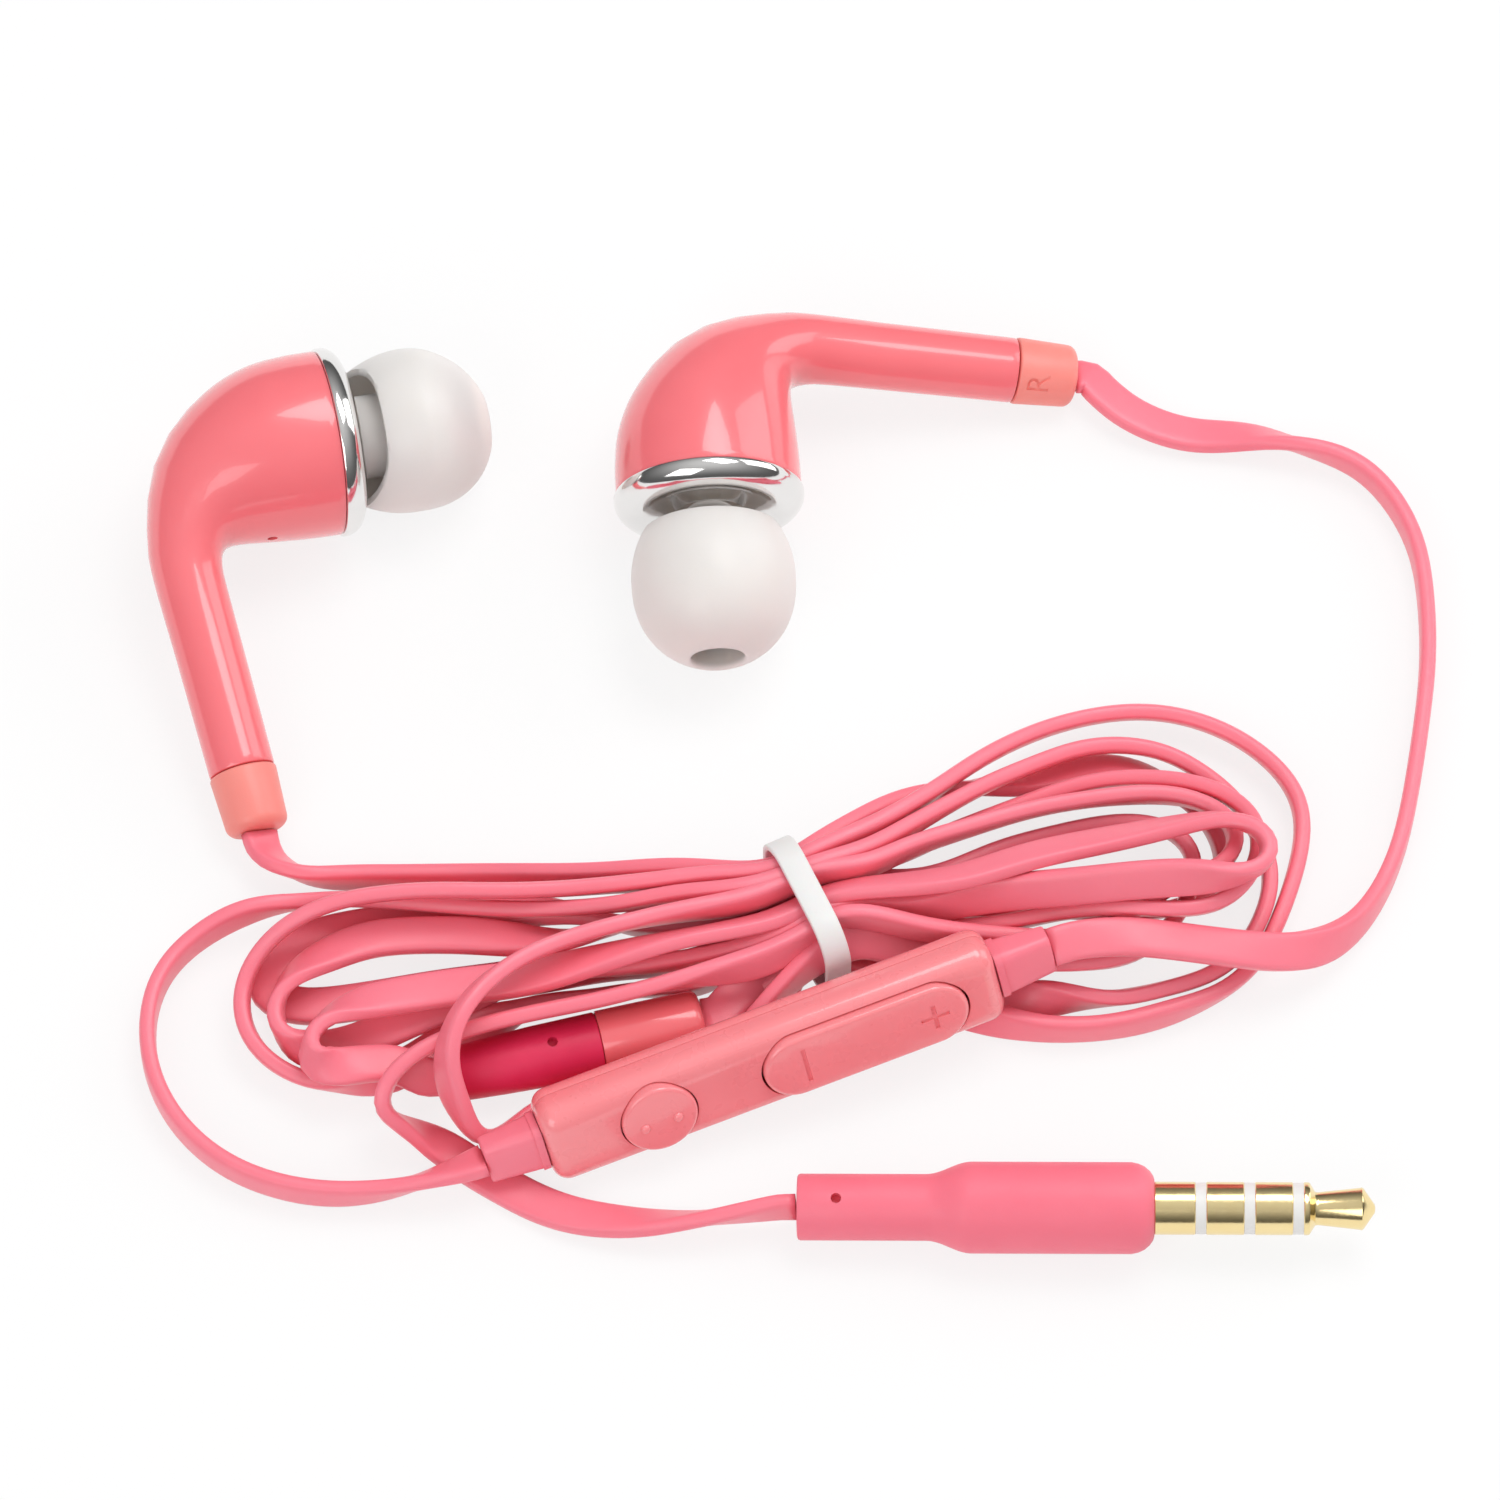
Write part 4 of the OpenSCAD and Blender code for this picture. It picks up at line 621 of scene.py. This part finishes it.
# ---- Stem boots: soft salmon plugs at the ends of the stems, with a side letter ----
# Each holds the cable where it leaves the stem. Its spigot sits inside the stem.
boot_len = 4.3
boot_r = stem_d / 2 - stem_taper + 0.05
spigot_r = (stem_d - 2 * stem_taper - 1.8 + 0.1) / 2
end_round = 0.7
letter_size, letter_thick, letter_depth, letter_x = 2.3, 0.4, 0.2, 1.55
salmon_satin = waxy("salmon_satin", 1.47, 0.15, (1.0, 0.4, 0.3)).mottle(
    (0.88, 0.25, 0.22), (0.93, 0.29, 0.25), 3, (0.34, 0.1, 0.7), (0.01, 0.15))
round_end = [(end_round * math.sin(a) - end_round, end_round * math.cos(a) - end_round)
             for a in np.linspace(0, math.pi / 2, 9)]
boot_profile = [(-2, spigot_r), (0.1, spigot_r), (0.1, boot_r - 0.12), (0.16, boot_r - 0.03),
                (0.26, boot_r)] + [(boot_len + x, boot_r - 0.15 + r) for x, r in round_end]
for side, letter, round_to in (("left", "L", -135), ("right", "R", -45)):
    boot = turned(side + "_boot", boot_profile)
    bpy.ops.object.text_add(location=(0, 0, 0))
    mark = bpy.context.object
    mark.data.body, mark.data.size = letter, letter_size
    mark.data.align_x, mark.data.align_y = "CENTER", "CENTER"
    mark.data.extrude, mark.data.offset = letter_thick, -0.01
    bpy.ops.object.convert(target="MESH")
    flip = Matrix.Diagonal((1, 1 if side == "left" else -1, 1, 1))
    mark.matrix_world = (Matrix.Rotation(math.radians(round_to), 4, "X")
                         @ Matrix.Translation((letter_x, 0, boot_r + letter_thick - letter_depth))
                         @ flip @ Matrix.Rotation(math.pi / 2, 4, "Z"))
    place_in_mesh()
    face_out(mark, 0.001)
    cut(boot, mark)
    at_end = (Matrix.Translation((*stem_end, 0))
              @ Matrix.Rotation(stem_splay - math.pi / 2, 4, "Z"))
    fit(boot, ears[side] @ at_end, salmon_satin, [side + "_stem_boot"])

# ---- Front covers: bright plated rings with the sound nozzle in the middle ----
# Each is pressed into the mouth of its housing with a short skirt.
cover_r, face_r, cover_len = 6.5, 4.8, 1.7
nozzle_r, bore_r, nozzle_tip = 2.1, 1.5, 7.0
plated = Finish("plated", Metallic=1.0).mottle(
    (0.78, 0.77, 0.76), (0.86, 0.85, 0.84), 2.5, (0.06, 0.07, 0.8), (0.002, 0.5))
shoulder = [(0.35 + 1.35 * math.sin(a), face_r + (cover_r - face_r) * math.cos(a))
            for a in np.linspace(0, math.pi / 2, 14)]
cover = turned("left_cover", [
    (-1.1, 4.4), (-1.1, 5.4), (0.02, 5.5), (0.02, cover_r - 0.12), (0.06, cover_r - 0.04),
    (0.15, cover_r)] + shoulder + [
    (cover_len - 0.02, 4.6), (cover_len - 0.2, 3.4), (cover_len - 0.1, 2.6),
    (cover_len + 0.25, nozzle_r + 0.05), (cover_len + 0.5, nozzle_r), (5.8, nozzle_r),
    (6.0, nozzle_r + 0.1), (6.35, nozzle_r + 0.1), (6.6, nozzle_r), (nozzle_tip, nozzle_r - 0.2),
    (nozzle_tip, bore_r + 0.25), (nozzle_tip - 0.4, bore_r + 0.25), (nozzle_tip - 0.42, bore_r),
    (0.8, bore_r), (0.3, 4.3), (-1.1, 4.4)], 96, (False, False))
right_cover = twin(cover, "right_cover")
for side, ring in (("left", cover), ("right", right_cover)):
    fit(ring, ears[side], plated, [side + "_front_cover"], angle=30)

# ---- Nozzle meshes: woven steel screens in the mouths of the nozzles ----
# They keep their turned shape and get the finish of fine steel cloth.
screen_steel = Finish("screen_steel", Metallic=1.0).mottle(
    (0.42, 0.42, 0.43), (0.6, 0.6, 0.6), 0.5, (0.3, 0.2, 0.3))


def dress(node, finish):
    """Gives a part that keeps its own shape its finish."""
    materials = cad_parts[node].data.materials
    materials.clear()
    materials.append(finish.material)


for side in ears:
    dress(side + "_nozzle_mesh", screen_steel)

# ---- Ear tips: milky silicone domes, soft, each moulded in one with its inner tube ----
# The tube grips the nozzle, and the dome folds back over it into an open skirt.
tip_r, tip_len, core_r, tip_wall = 5.6, 9.3, 2.85, 0.55
hole_r = nozzle_r + 0.1
widest = tip_len * 0.37
milky = waxy("milky_silicone", 1.41, 0.6, (1.0, 0.94, 0.88), 1.2, Transmission_Weight=0.1).mottle(
    (0.885, 0.825, 0.785), (0.92, 0.87, 0.835), 4, (0.3, 0.12, 0.9), (0.006, 0.2), (0.01, 1.5))
skirt_angle = math.radians(33)
rear = widest / math.sin(skirt_angle)
lip_r = hole_r - 0.2
lip_angle = math.acos(lip_r / tip_r)
fullness = 0.85
nose = (tip_len - widest) / math.sin(lip_angle) ** fullness
inside_r = tip_r - tip_wall
join_angle = math.acos((core_r + 0.1) / inside_r)
tip_profile = (
    [(widest + rear * math.sin(a), tip_r * math.cos(a))
     for a in np.linspace(-skirt_angle, 0, 16, endpoint=False)]
    + [(widest + nose * math.sin(a) ** fullness, tip_r * math.cos(a))
       for a in np.linspace(0, lip_angle, 24)]
    + [(tip_len - 0.08, lip_r - 0.13), (tip_len - 0.25, lip_r - 0.17), (tip_len - 0.5, lip_r - 0.1),
       (tip_len - 1, hole_r), (0.25, hole_r),
       (0, hole_r + 0.25), (0, core_r - 0.1), (0.1, core_r), (1.5, core_r)]
    + [(widest + (nose - tip_wall) * math.sin(a), inside_r * math.cos(a))
       for a in np.linspace(join_angle, 0, 14)]
    + [(widest + (rear - 0.02) * math.sin(a), inside_r * math.cos(a))
       for a in np.linspace(0, -skirt_angle, 12)][1:])
tip = turned("left_tip_dome", tip_profile + tip_profile[:1], 96, (False, False))
right_tip = twin(tip, "right_tip_dome")


def select(piece, kind, chosen):
    """Opens a piece with the points, edges or faces selected that chosen picks.

    It looks at a point, at an edge's two ends or at a face's normal.
    """
    only(piece)
    editing(True)
    bpy.ops.mesh.select_mode(type=kind)
    bpy.ops.mesh.select_all(action="DESELECT")
    editing(False)
    data = piece.data
    if kind == "VERT":
        for vertex in data.vertices:
            vertex.select = chosen(vertex.co)
    elif kind == "EDGE":
        for edge in data.edges:
            edge.select = chosen(*(data.vertices[k].co for k in edge.vertices))
    else:
        for face in data.polygons:
            face.select = chosen(face.normal)
    editing(True)


def nudge(piece, chosen, step, spread):
    """Moves the chosen points of a soft part, and those round them less and less."""
    select(piece, "VERT", chosen)
    bpy.ops.transform.translate(value=step, use_proportional_edit=True,
                                use_proportional_connected=True,
                                proportional_edit_falloff="SMOOTH", proportional_size=spread)
    editing(False)


# The left dome droops on the table, so its skirt stands open above
nudge(tip, lambda co: co.x > tip_len - 0.5, (0, 0, -0.8), 7)
nudge(tip, lambda co: co.x < 1.5 and co.z > 4, (1.5, 0, 0), 6.5)
for side, dome, gap in (("left", tip, 0.2), ("right", right_tip, 1.2)):
    fit(dome, ears[side] @ Matrix.Translation((cover_len + gap, 0, 0)), milky,
        [side + "_ear_tip"], side + "_tip", 60)

# ---- Drivers: what the housings hold, a basket, a yoke, a magnet and a film cone ----
# The parts keep their turned shapes and get the finish of what each is made of.
inner_finishes = {}
for name, low, high, metal, rough in (
        ("basket_black", (0.02, 0.02, 0.022), (0.04, 0.04, 0.042), 0, 0.5),
        ("yoke_steel", (0.5, 0.5, 0.5), (0.62, 0.61, 0.6), 1, 0.3),
        ("magnet_grey", (0.2, 0.2, 0.21), (0.3, 0.3, 0.31), 1, 0.42),
        ("cone_film", (0.55, 0.45, 0.2), (0.65, 0.52, 0.26), 0, 0.25),
        ("board_green", (0.01, 0.1, 0.03), (0.02, 0.16, 0.05), 0, 0.35)):
    inner_finishes[name] = Finish(name, Metallic=metal).mottle(
        low, high, 1.5, (rough, 0.15, 0.4), (0.004, 0.1))
for side in ears:
    for part, finish in (("driver_basket", "basket_black"), ("driver_yoke", "yoke_steel"),
                         ("driver_magnet", "magnet_grey"), ("driver_plate", "yoke_steel"),
                         ("diaphragm", "cone_film"), ("driver_board", "board_green")):
        dress(side + "_" + part, inner_finishes[finish])

# ---- Inline remote: a coral case in two halves, screwless, with a round button and a rocker ----
# It leans on the cable with its buttons towards the front. Local X runs along the case and
# local +Z out of the buttons.
remote_len, remote_w, remote_t = 32, 6.4, 4.2
end_wall, side_wall = 1.1, 0.5
cover_seam, base_seam = -0.27, -0.33
on_remote = placing(remote_at, *remote_turns)
button_top = remote_t / 2 + 0.35
play_x, play_d, play_opening = -8.3, 5.2, 5.4
rocker_x, rocker_size, rocker_opening = 6.3, (14.4, 4.8), (14.7, 5.1)
# The case and its keys use a lighter copy of the coral gloss: painted light on front faces that the
# lamps leave in shade
remote_gloss_painted_light = moulded_gloss("remote_gloss_painted_light", (0.93, 0.235, 0.26), (0.96, 0.27, 0.295),
                             0.06, 0.24)


def block(name, size, at=(0, 0, 0)):
    """A box in millimetres round a point."""
    bpy.ops.object.select_all(action="DESELECT")
    bpy.ops.mesh.primitive_cube_add(size=1, scale=size, location=at)
    bpy.context.object.name = name
    place_in_mesh()
    return bpy.context.object


def round_edges(piece, chosen, width, segments):
    """Rounds the edges that chosen picks by their two ends."""
    select(piece, "EDGE", chosen)
    bpy.ops.mesh.bevel(offset=width, segments=segments, affect="EDGES", clamp_overlap=True)
    editing(False)
    return piece


def pill(name, length, width, bottom, top, at=0.0, sides=64):
    """An upright rounded bar: a cylinder whose right half is moved along."""
    r = width / 2
    piece = rod(r, top - bottom, (0, 0, (top + bottom) / 2), sides)
    piece.name = name
    place_in_mesh()
    half = max(0, length / 2 - r)
    select(piece, "VERT", lambda co: co.x > 1e-4)
    bpy.ops.transform.translate(value=(2 * half, 0, 0))
    bpy.ops.mesh.select_all(action="SELECT")
    bpy.ops.transform.translate(value=(at - half, 0, 0))
    editing(False)
    return piece


def lengthwise(a, b):
    """Whether an edge runs along the remote's case."""
    return abs(a.x - b.x) > 9


def on_top(a, b):
    """Whether an edge lies on a button's upper face."""
    return min(a.z, b.z) > button_top - 0.01


case = block("case", (remote_len, remote_w, remote_t))
round_edges(case, lengthwise, 1.6, 12)
round_edges(case, lambda a, b: abs(a.x - b.x) < 0.01 and abs(a.x) > 15.9, 1.15, 8)
hollow = block("hollow", (remote_len - 2 * end_wall, remote_w - 2 * side_wall,
                          remote_t - 2 * side_wall))
round_edges(hollow, lengthwise, 1.2, 4)
cut(case, hollow)
cut(case, block("windows", (remote_len + 2, 3.2, 2.2)))
base = twin(case, "case_back")
case.name = "case_front"
cut(case, block("below", (40, 10, 6), (0, 0, cover_seam - 3)))
cut(base, block("above", (40, 10, 6), (0, 0, base_seam + 3)))
cut(case, rod(play_opening / 2, 4, (play_x, 0, 2.2), 64))
cut(case, pill("rocker_opening", *rocker_opening, 0.2, 4, rocker_x))
cut(base, rod(0.4, 2, (-3.3, 0, -2), 24))
for part, node in ((case, "remote_cover"), (base, "remote_base")):
    ease(part, 0.08, 2, 60)
    fit(part, on_remote, remote_gloss_painted_light, [node])

# The round button has two raised dots, and a flange under the case keeps it in
play = pill("play_key", play_d, play_d, 1.05, button_top)
round_edges(play, on_top, 0.3, 5)
for x in (-1.15, 1.15):
    bpy.ops.mesh.primitive_uv_sphere_add(segments=32, ring_count=16, radius=0.36,
                                         location=(x, -0.25, button_top - 0.08))
    cut(play, bpy.context.object, "UNION")
cut(play, block("ears", (6.2, 1.6, 0.4), (0, 0, 1.2)), "UNION")
cut(play, pill("nub", 1, 1, -0.1, 1.2, 0, 24), "UNION")
fit(play, on_remote @ Matrix.Translation((play_x, 0, 0)), remote_gloss_painted_light,
    ["play_button"], "play_key")

# The rocker tilts on a pin across the case; its marks are moulded in
rocker = pill("volume_key", *rocker_size, 0.85, button_top)
round_edges(rocker, on_top, 0.35, 5)
for size, x in (((2, 0.3, 0.3), 4.8), ((0.3, 2, 0.3), 4.8), ((0.3, 2.8, 0.3), -4.3)):
    cut(rocker, block("groove", size, (x, 0, button_top)))
cut(rocker, rod(0.35, 5.8, (0, 0, 1.1), 24, (math.pi / 2, 0, 0)), "UNION")
fit(rocker, on_remote @ Matrix.Translation((rocker_x, 0, 0)), remote_gloss_painted_light,
    ["volume_rocker"], "volume_key")

# The sleeves are soft and taper down to the cable; each has a lip against the case
sleeve = block("sleeve", (4.0, 3.6, 2.7), (18.03, 0, 0))
round_edges(sleeve, lambda a, b: abs(a.x - b.x) > 3, 0.75, 6)
select(sleeve, "VERT", lambda co: co.x > 18.5)
bpy.ops.transform.resize(value=(1, 0.87, 0.71), center_override=(20, 0, 0))
editing(False)
round_edges(sleeve, lambda a, b: abs(a.x - b.x) < 0.01 and a.x > 19.5, 0.18, 3)
lip = block("lip", (0.5, 3.75, 2.85), (16.3, 0, 0))
round_edges(lip, lambda a, b: abs(a.x - b.x) > 0.3, 0.8, 6)
cut(sleeve, lip, "UNION")
cut(sleeve, block("neck", (1.6, 3.0, 2.0), (15.3, 0, 0)), "UNION")
left_sleeve = twin(sleeve, "left_cable_sleeve")
sleeve.name = "right_cable_sleeve"
fit(sleeve, on_remote, cable_skin, ["remote_right_sleeve"])
fit(left_sleeve, on_remote @ Matrix.Diagonal((-1, 1, 1, 1)), cable_skin,
    ["remote_left_sleeve"])

# Inside are a board, three switches with their domes, and a microphone in a gasket
for name, low, high, metal, rough in (
        ("switch_silver", (0.55, 0.55, 0.54), (0.66, 0.65, 0.64), 1, 0.3),
        ("dome_gold", (0.7, 0.52, 0.25), (0.8, 0.62, 0.32), 1, 0.25),
        ("gasket_black", (0.015, 0.015, 0.016), (0.03, 0.03, 0.03), 0, 0.6)):
    inner_finishes[name] = Finish(name, Metallic=metal).mottle(
        low, high, 1, (rough, 0.15, 0.3), (0.004, 0.08))
for node, finish in (("remote_board", "board_green"), ("switch_bodies", "switch_silver"),
                     ("switch_domes", "dome_gold"), ("microphone", "switch_silver"),
                     ("microphone_gasket", "gasket_black")):
    dress(node, inner_finishes[finish])

# ---- Splitter: a glossy salmon shell pushed on a soft crimson strain relief ----
# It lies among the loops, and turns the plug's cable into one for each ear.
splitter_r, splitter_len, relief_len = 2.2, 7.0, 9.8
pinhole_r, pinhole_x = 0.35, -3.2
on_splitter = placing((-0.8, -34.4, 2.3), splitter_turn, 0, 0)
crimson_rubber = waxy("crimson_rubber", 1.45, 0.08, (1.0, 0.2, 0.2), 0.6).mottle(
    (0.66, 0.017, 0.08), (0.77, 0.032, 0.115), 2.5, (0.4, 0.12, 0.5), (0.012, 0.12))


def inset(x, r, *steps):
    """Profile points, each some way along from x and in from the radius r."""
    return [(x + along, r - inwards) for along, inwards in steps]


relief = turned("splitter_boot", inset(
    -relief_len, splitter_r, (0, 0.75), (0, 0.5), (0.06, 0.42), (0.2, 0.35),
    (relief_len * 0.3, 0.2), (relief_len * 0.55, 0.1)) + inset(
    0, splitter_r, (-0.15, 0.05), (-0.04, 0.1), (0, 0.2)) + [(0, 1.35), (2, 1.35)])
cut(relief, rod(pinhole_r, 1.4, (pinhole_x, 0, splitter_r)))
fit(relief, on_splitter @ Matrix.Rotation(math.radians(3), 4, "X"),
    crimson_rubber, ["splitter_relief"])
shell = turned("splitter_cap", [(2.5, 1.5), (0.02, 1.5)] + inset(
    0, splitter_r, (0.02, 0.1), (0.05, 0.03), (0.12, 0)) + inset(
    splitter_len, splitter_r, (-0.6, 0), (-0.35, 0.05), (-0.12, 0.2), (0, 0.5)))
fit(shell, on_splitter, coral_gloss, ["splitter_shell"])

# ---- Plug: a soft moulded handle on a four-pole jack ----
# The jack is turned brass with a gold finish, and white rings part its four contacts.
handle_r, neck_r, handle_len = 3.025, 2.2, 23.5
jack_r = 1.75
on_plug = placing((35.8, -46.9, handle_r + 0.45), -1.1, -2, 0)
pink_rubber = waxy("pink_rubber", 1.46, 0.12).mottle(
    (0.89, 0.165, 0.235), (0.93, 0.195, 0.265), 4, (0.42, 0.1, 0.6), (0.014, 0.13), (0.01, 1.6))
swell = [(-handle_len + handle_len * (0.36 + 0.13 * share),
          neck_r + (handle_r - neck_r) * (1 - math.cos(math.pi * share)) / 2)
         for share in np.linspace(0, 1, 17)]
handle = turned("plug_grip", inset(
    -handle_len, neck_r, (0, 0.8), (0, 0.2), (0.06, 0.06), (0.2, 0), (handle_len * 0.2, 0))
    + swell + inset(0, handle_r, (-4, 0), (-1.5, 0), (-1.05, 0.1), (-0.65, 0.28), (-0.3, 0.58),
                    (-0.08, 0.9), (0, 1.15)) + [(0, jack_r - 0.2)])
cut(handle, rod(pinhole_r, 1.6, (-handle_len + 2.6, 0, neck_r)))
fit(handle, on_plug @ Matrix.Rotation(math.radians(8), 4, "X"), pink_rubber,
    ["plug_handle"])

gold = Finish("gold", Metallic=1.0).mottle(
    (0.9, 0.7, 0.34), (0.95, 0.79, 0.44), 1.6, (0.12, 0.12, 0.5), (0.003, 0.25))
ring_two, ring_one, tip_at, ring_len, insulator_len = 3.4, 6.6, 9.8, 2.5, 0.7
for name, start, end in (("sleeve_contact", 0, 2.7), ("ring_two", ring_two, ring_two + ring_len),
                         ("ring_one", ring_one, ring_one + ring_len)):
    contact = turned("jack_" + name, inset(start, jack_r, (0, 0.3), (0, 0.06), (0.06, 0))
                     + inset(end, jack_r, (-0.06, 0), (0, 0.06), (0, 0.3)), 64)
    fit(contact, on_plug, gold, ["plug_" + name], angle=30)
point = turned("jack_tip_contact", inset(
    tip_at, jack_r, (0, 0.95), (0, 0.06), (0.06, 0), (0.3, 0), (0.4, 0.05), (0.75, 0.62),
    (0.85, 0.66), (1.0, 0.66), (3.7, 0.36), (3.82, 0.33), (3.95, 0.42), (4.55, 1.3), (4.66, 1.45),
    (4.7, 1.63)), 64)
fit(point, on_plug, gold, ["plug_tip_contact"], angle=30)
white_ring = Finish("white_ring", IOR=1.5).mottle(
    (0.76, 0.75, 0.73), (0.82, 0.81, 0.8), 1, (0.35, 0.15, 0.4))
for k, end in enumerate((ring_two, ring_one, tip_at)):
    ring = turned("jack_insulator_%d" % (k + 1), inset(
        end, jack_r, (-insulator_len, 0.4), (-insulator_len, 0.05), (0, 0.05), (0, 0.4)), 64)
    fit(ring, on_plug, white_ring, ["plug_insulators"], angle=30)

# ---- Tie: a white plastic band round the middle of the hank ----
# It is a short tube with rounded corners and no closure that shows, tight round the runs.
tie_wide, tie_thick = 1.8, 0.45
white_band = waxy("white_band", 1.47, 0.1, (1.0, 0.2, 0.1), 0.5).mottle(
    (0.75, 0.74, 0.73), (0.79, 0.785, 0.775), 2, (0.36, 0.12, 0.4), (0.01, 0.2))
band = block("hank_band", (tie_wide, *tie_inner))
select(band, "FACE", lambda normal: abs(normal.x) > 0.5)
bpy.ops.mesh.delete(type="ONLY_FACE")
editing(False)
round_edges(band, lambda a, b: abs(a.x - b.x) > tie_wide / 2, tie_corner, 12)
modify(band, "SOLIDIFY", thickness=tie_thick, offset=1)
ease(band, 0.12, 3)
fit(band, placing(tie_at, tie_turn, 0, 0), white_band, ["cable_tie"])

# ---- Table, backdrop and light: a pale sweep under large soft lamps ----
# The table keeps the shadow and shows itself white, to the eye and in polished parts.
bpy.ops.mesh.primitive_plane_add(size=4, location=(0, 0, 0))
table_top = bpy.context.object
table_top.name = "table_top"
pale = Finish("table_pale", Base_Color=(0.9, 0.9, 0.9, 1), Roughness=0.9)
rays = pale.node("LightPath")
seen = [Value(rays.outputs["Is %s Ray" % kind]) for kind in ("Camera", "Glossy", "Transmission")]
glow = pale.node("Emission", Color=(1, 1, 1, 1), Strength=1)
mixed = pale.node("MixShader", Fac=0.8 * (seen[0] + seen[1] + seen[2]))
for place, shader in ((mixed.inputs[1], pale.shader), (mixed.inputs[2], glow),
                      (pale.tree.nodes["Material Output"].inputs["Surface"], mixed)):
    feed(place, Value(shader.outputs[0]))
table_top.data.materials.append(pale.material)

# The room is white where it shows itself, and polished parts see it darker towards the horizon
world = bpy.data.worlds.new("studio")
bpy.context.scene.world = world
world.use_nodes = True
paths = world.node_tree.nodes.new("ShaderNodeLightPath")
behind = Value(paths.outputs["Is Camera Ray"]) + Value(paths.outputs["Is Transmission Ray"])
direction = world.node_tree.nodes.new("ShaderNodeTexCoord")
parts = world.node_tree.nodes.new("ShaderNodeSeparateXYZ")
feed(parts.inputs[0], Value(direction.outputs["Generated"]))
height = Value(parts.outputs["Z"])
dimmed = Value(paths.outputs["Is Glossy Ray"]) * (0.52 - 0.6 * (height * height))
level = 0.62 + 0.38 * behind - dimmed
air = world.node_tree.nodes["Background"]
air.inputs["Color"].default_value = (1, 1, 1, 1)
feed(air.inputs["Strength"], level)


def lamp(name, place, target, size, power):
    """A soft rectangular lamp that faces a point of the table."""
    place, target = Vector(place) * mm, Vector(target) * mm
    bpy.ops.object.light_add(type="AREA", location=place)
    light = bpy.context.object
    light.name = name
    light.data.shape = "RECTANGLE"
    light.data.size, light.data.size_y = size[0] * mm, size[1] * mm
    light.data.energy = power
    light.rotation_euler = (target - place).to_track_quat("-Z", "Y").to_euler()


lamp("lamp_above", (120, 135, 470), (0, -5, 0), (290, 220), 0.9)
lamp("lamp_right", (400, 190, 215), (0, -10, 0), (260, 360), 0.6)
lamp("lamp_front", (-200, -350, 330), (0, -10, 0), (300, 300), 0.6)
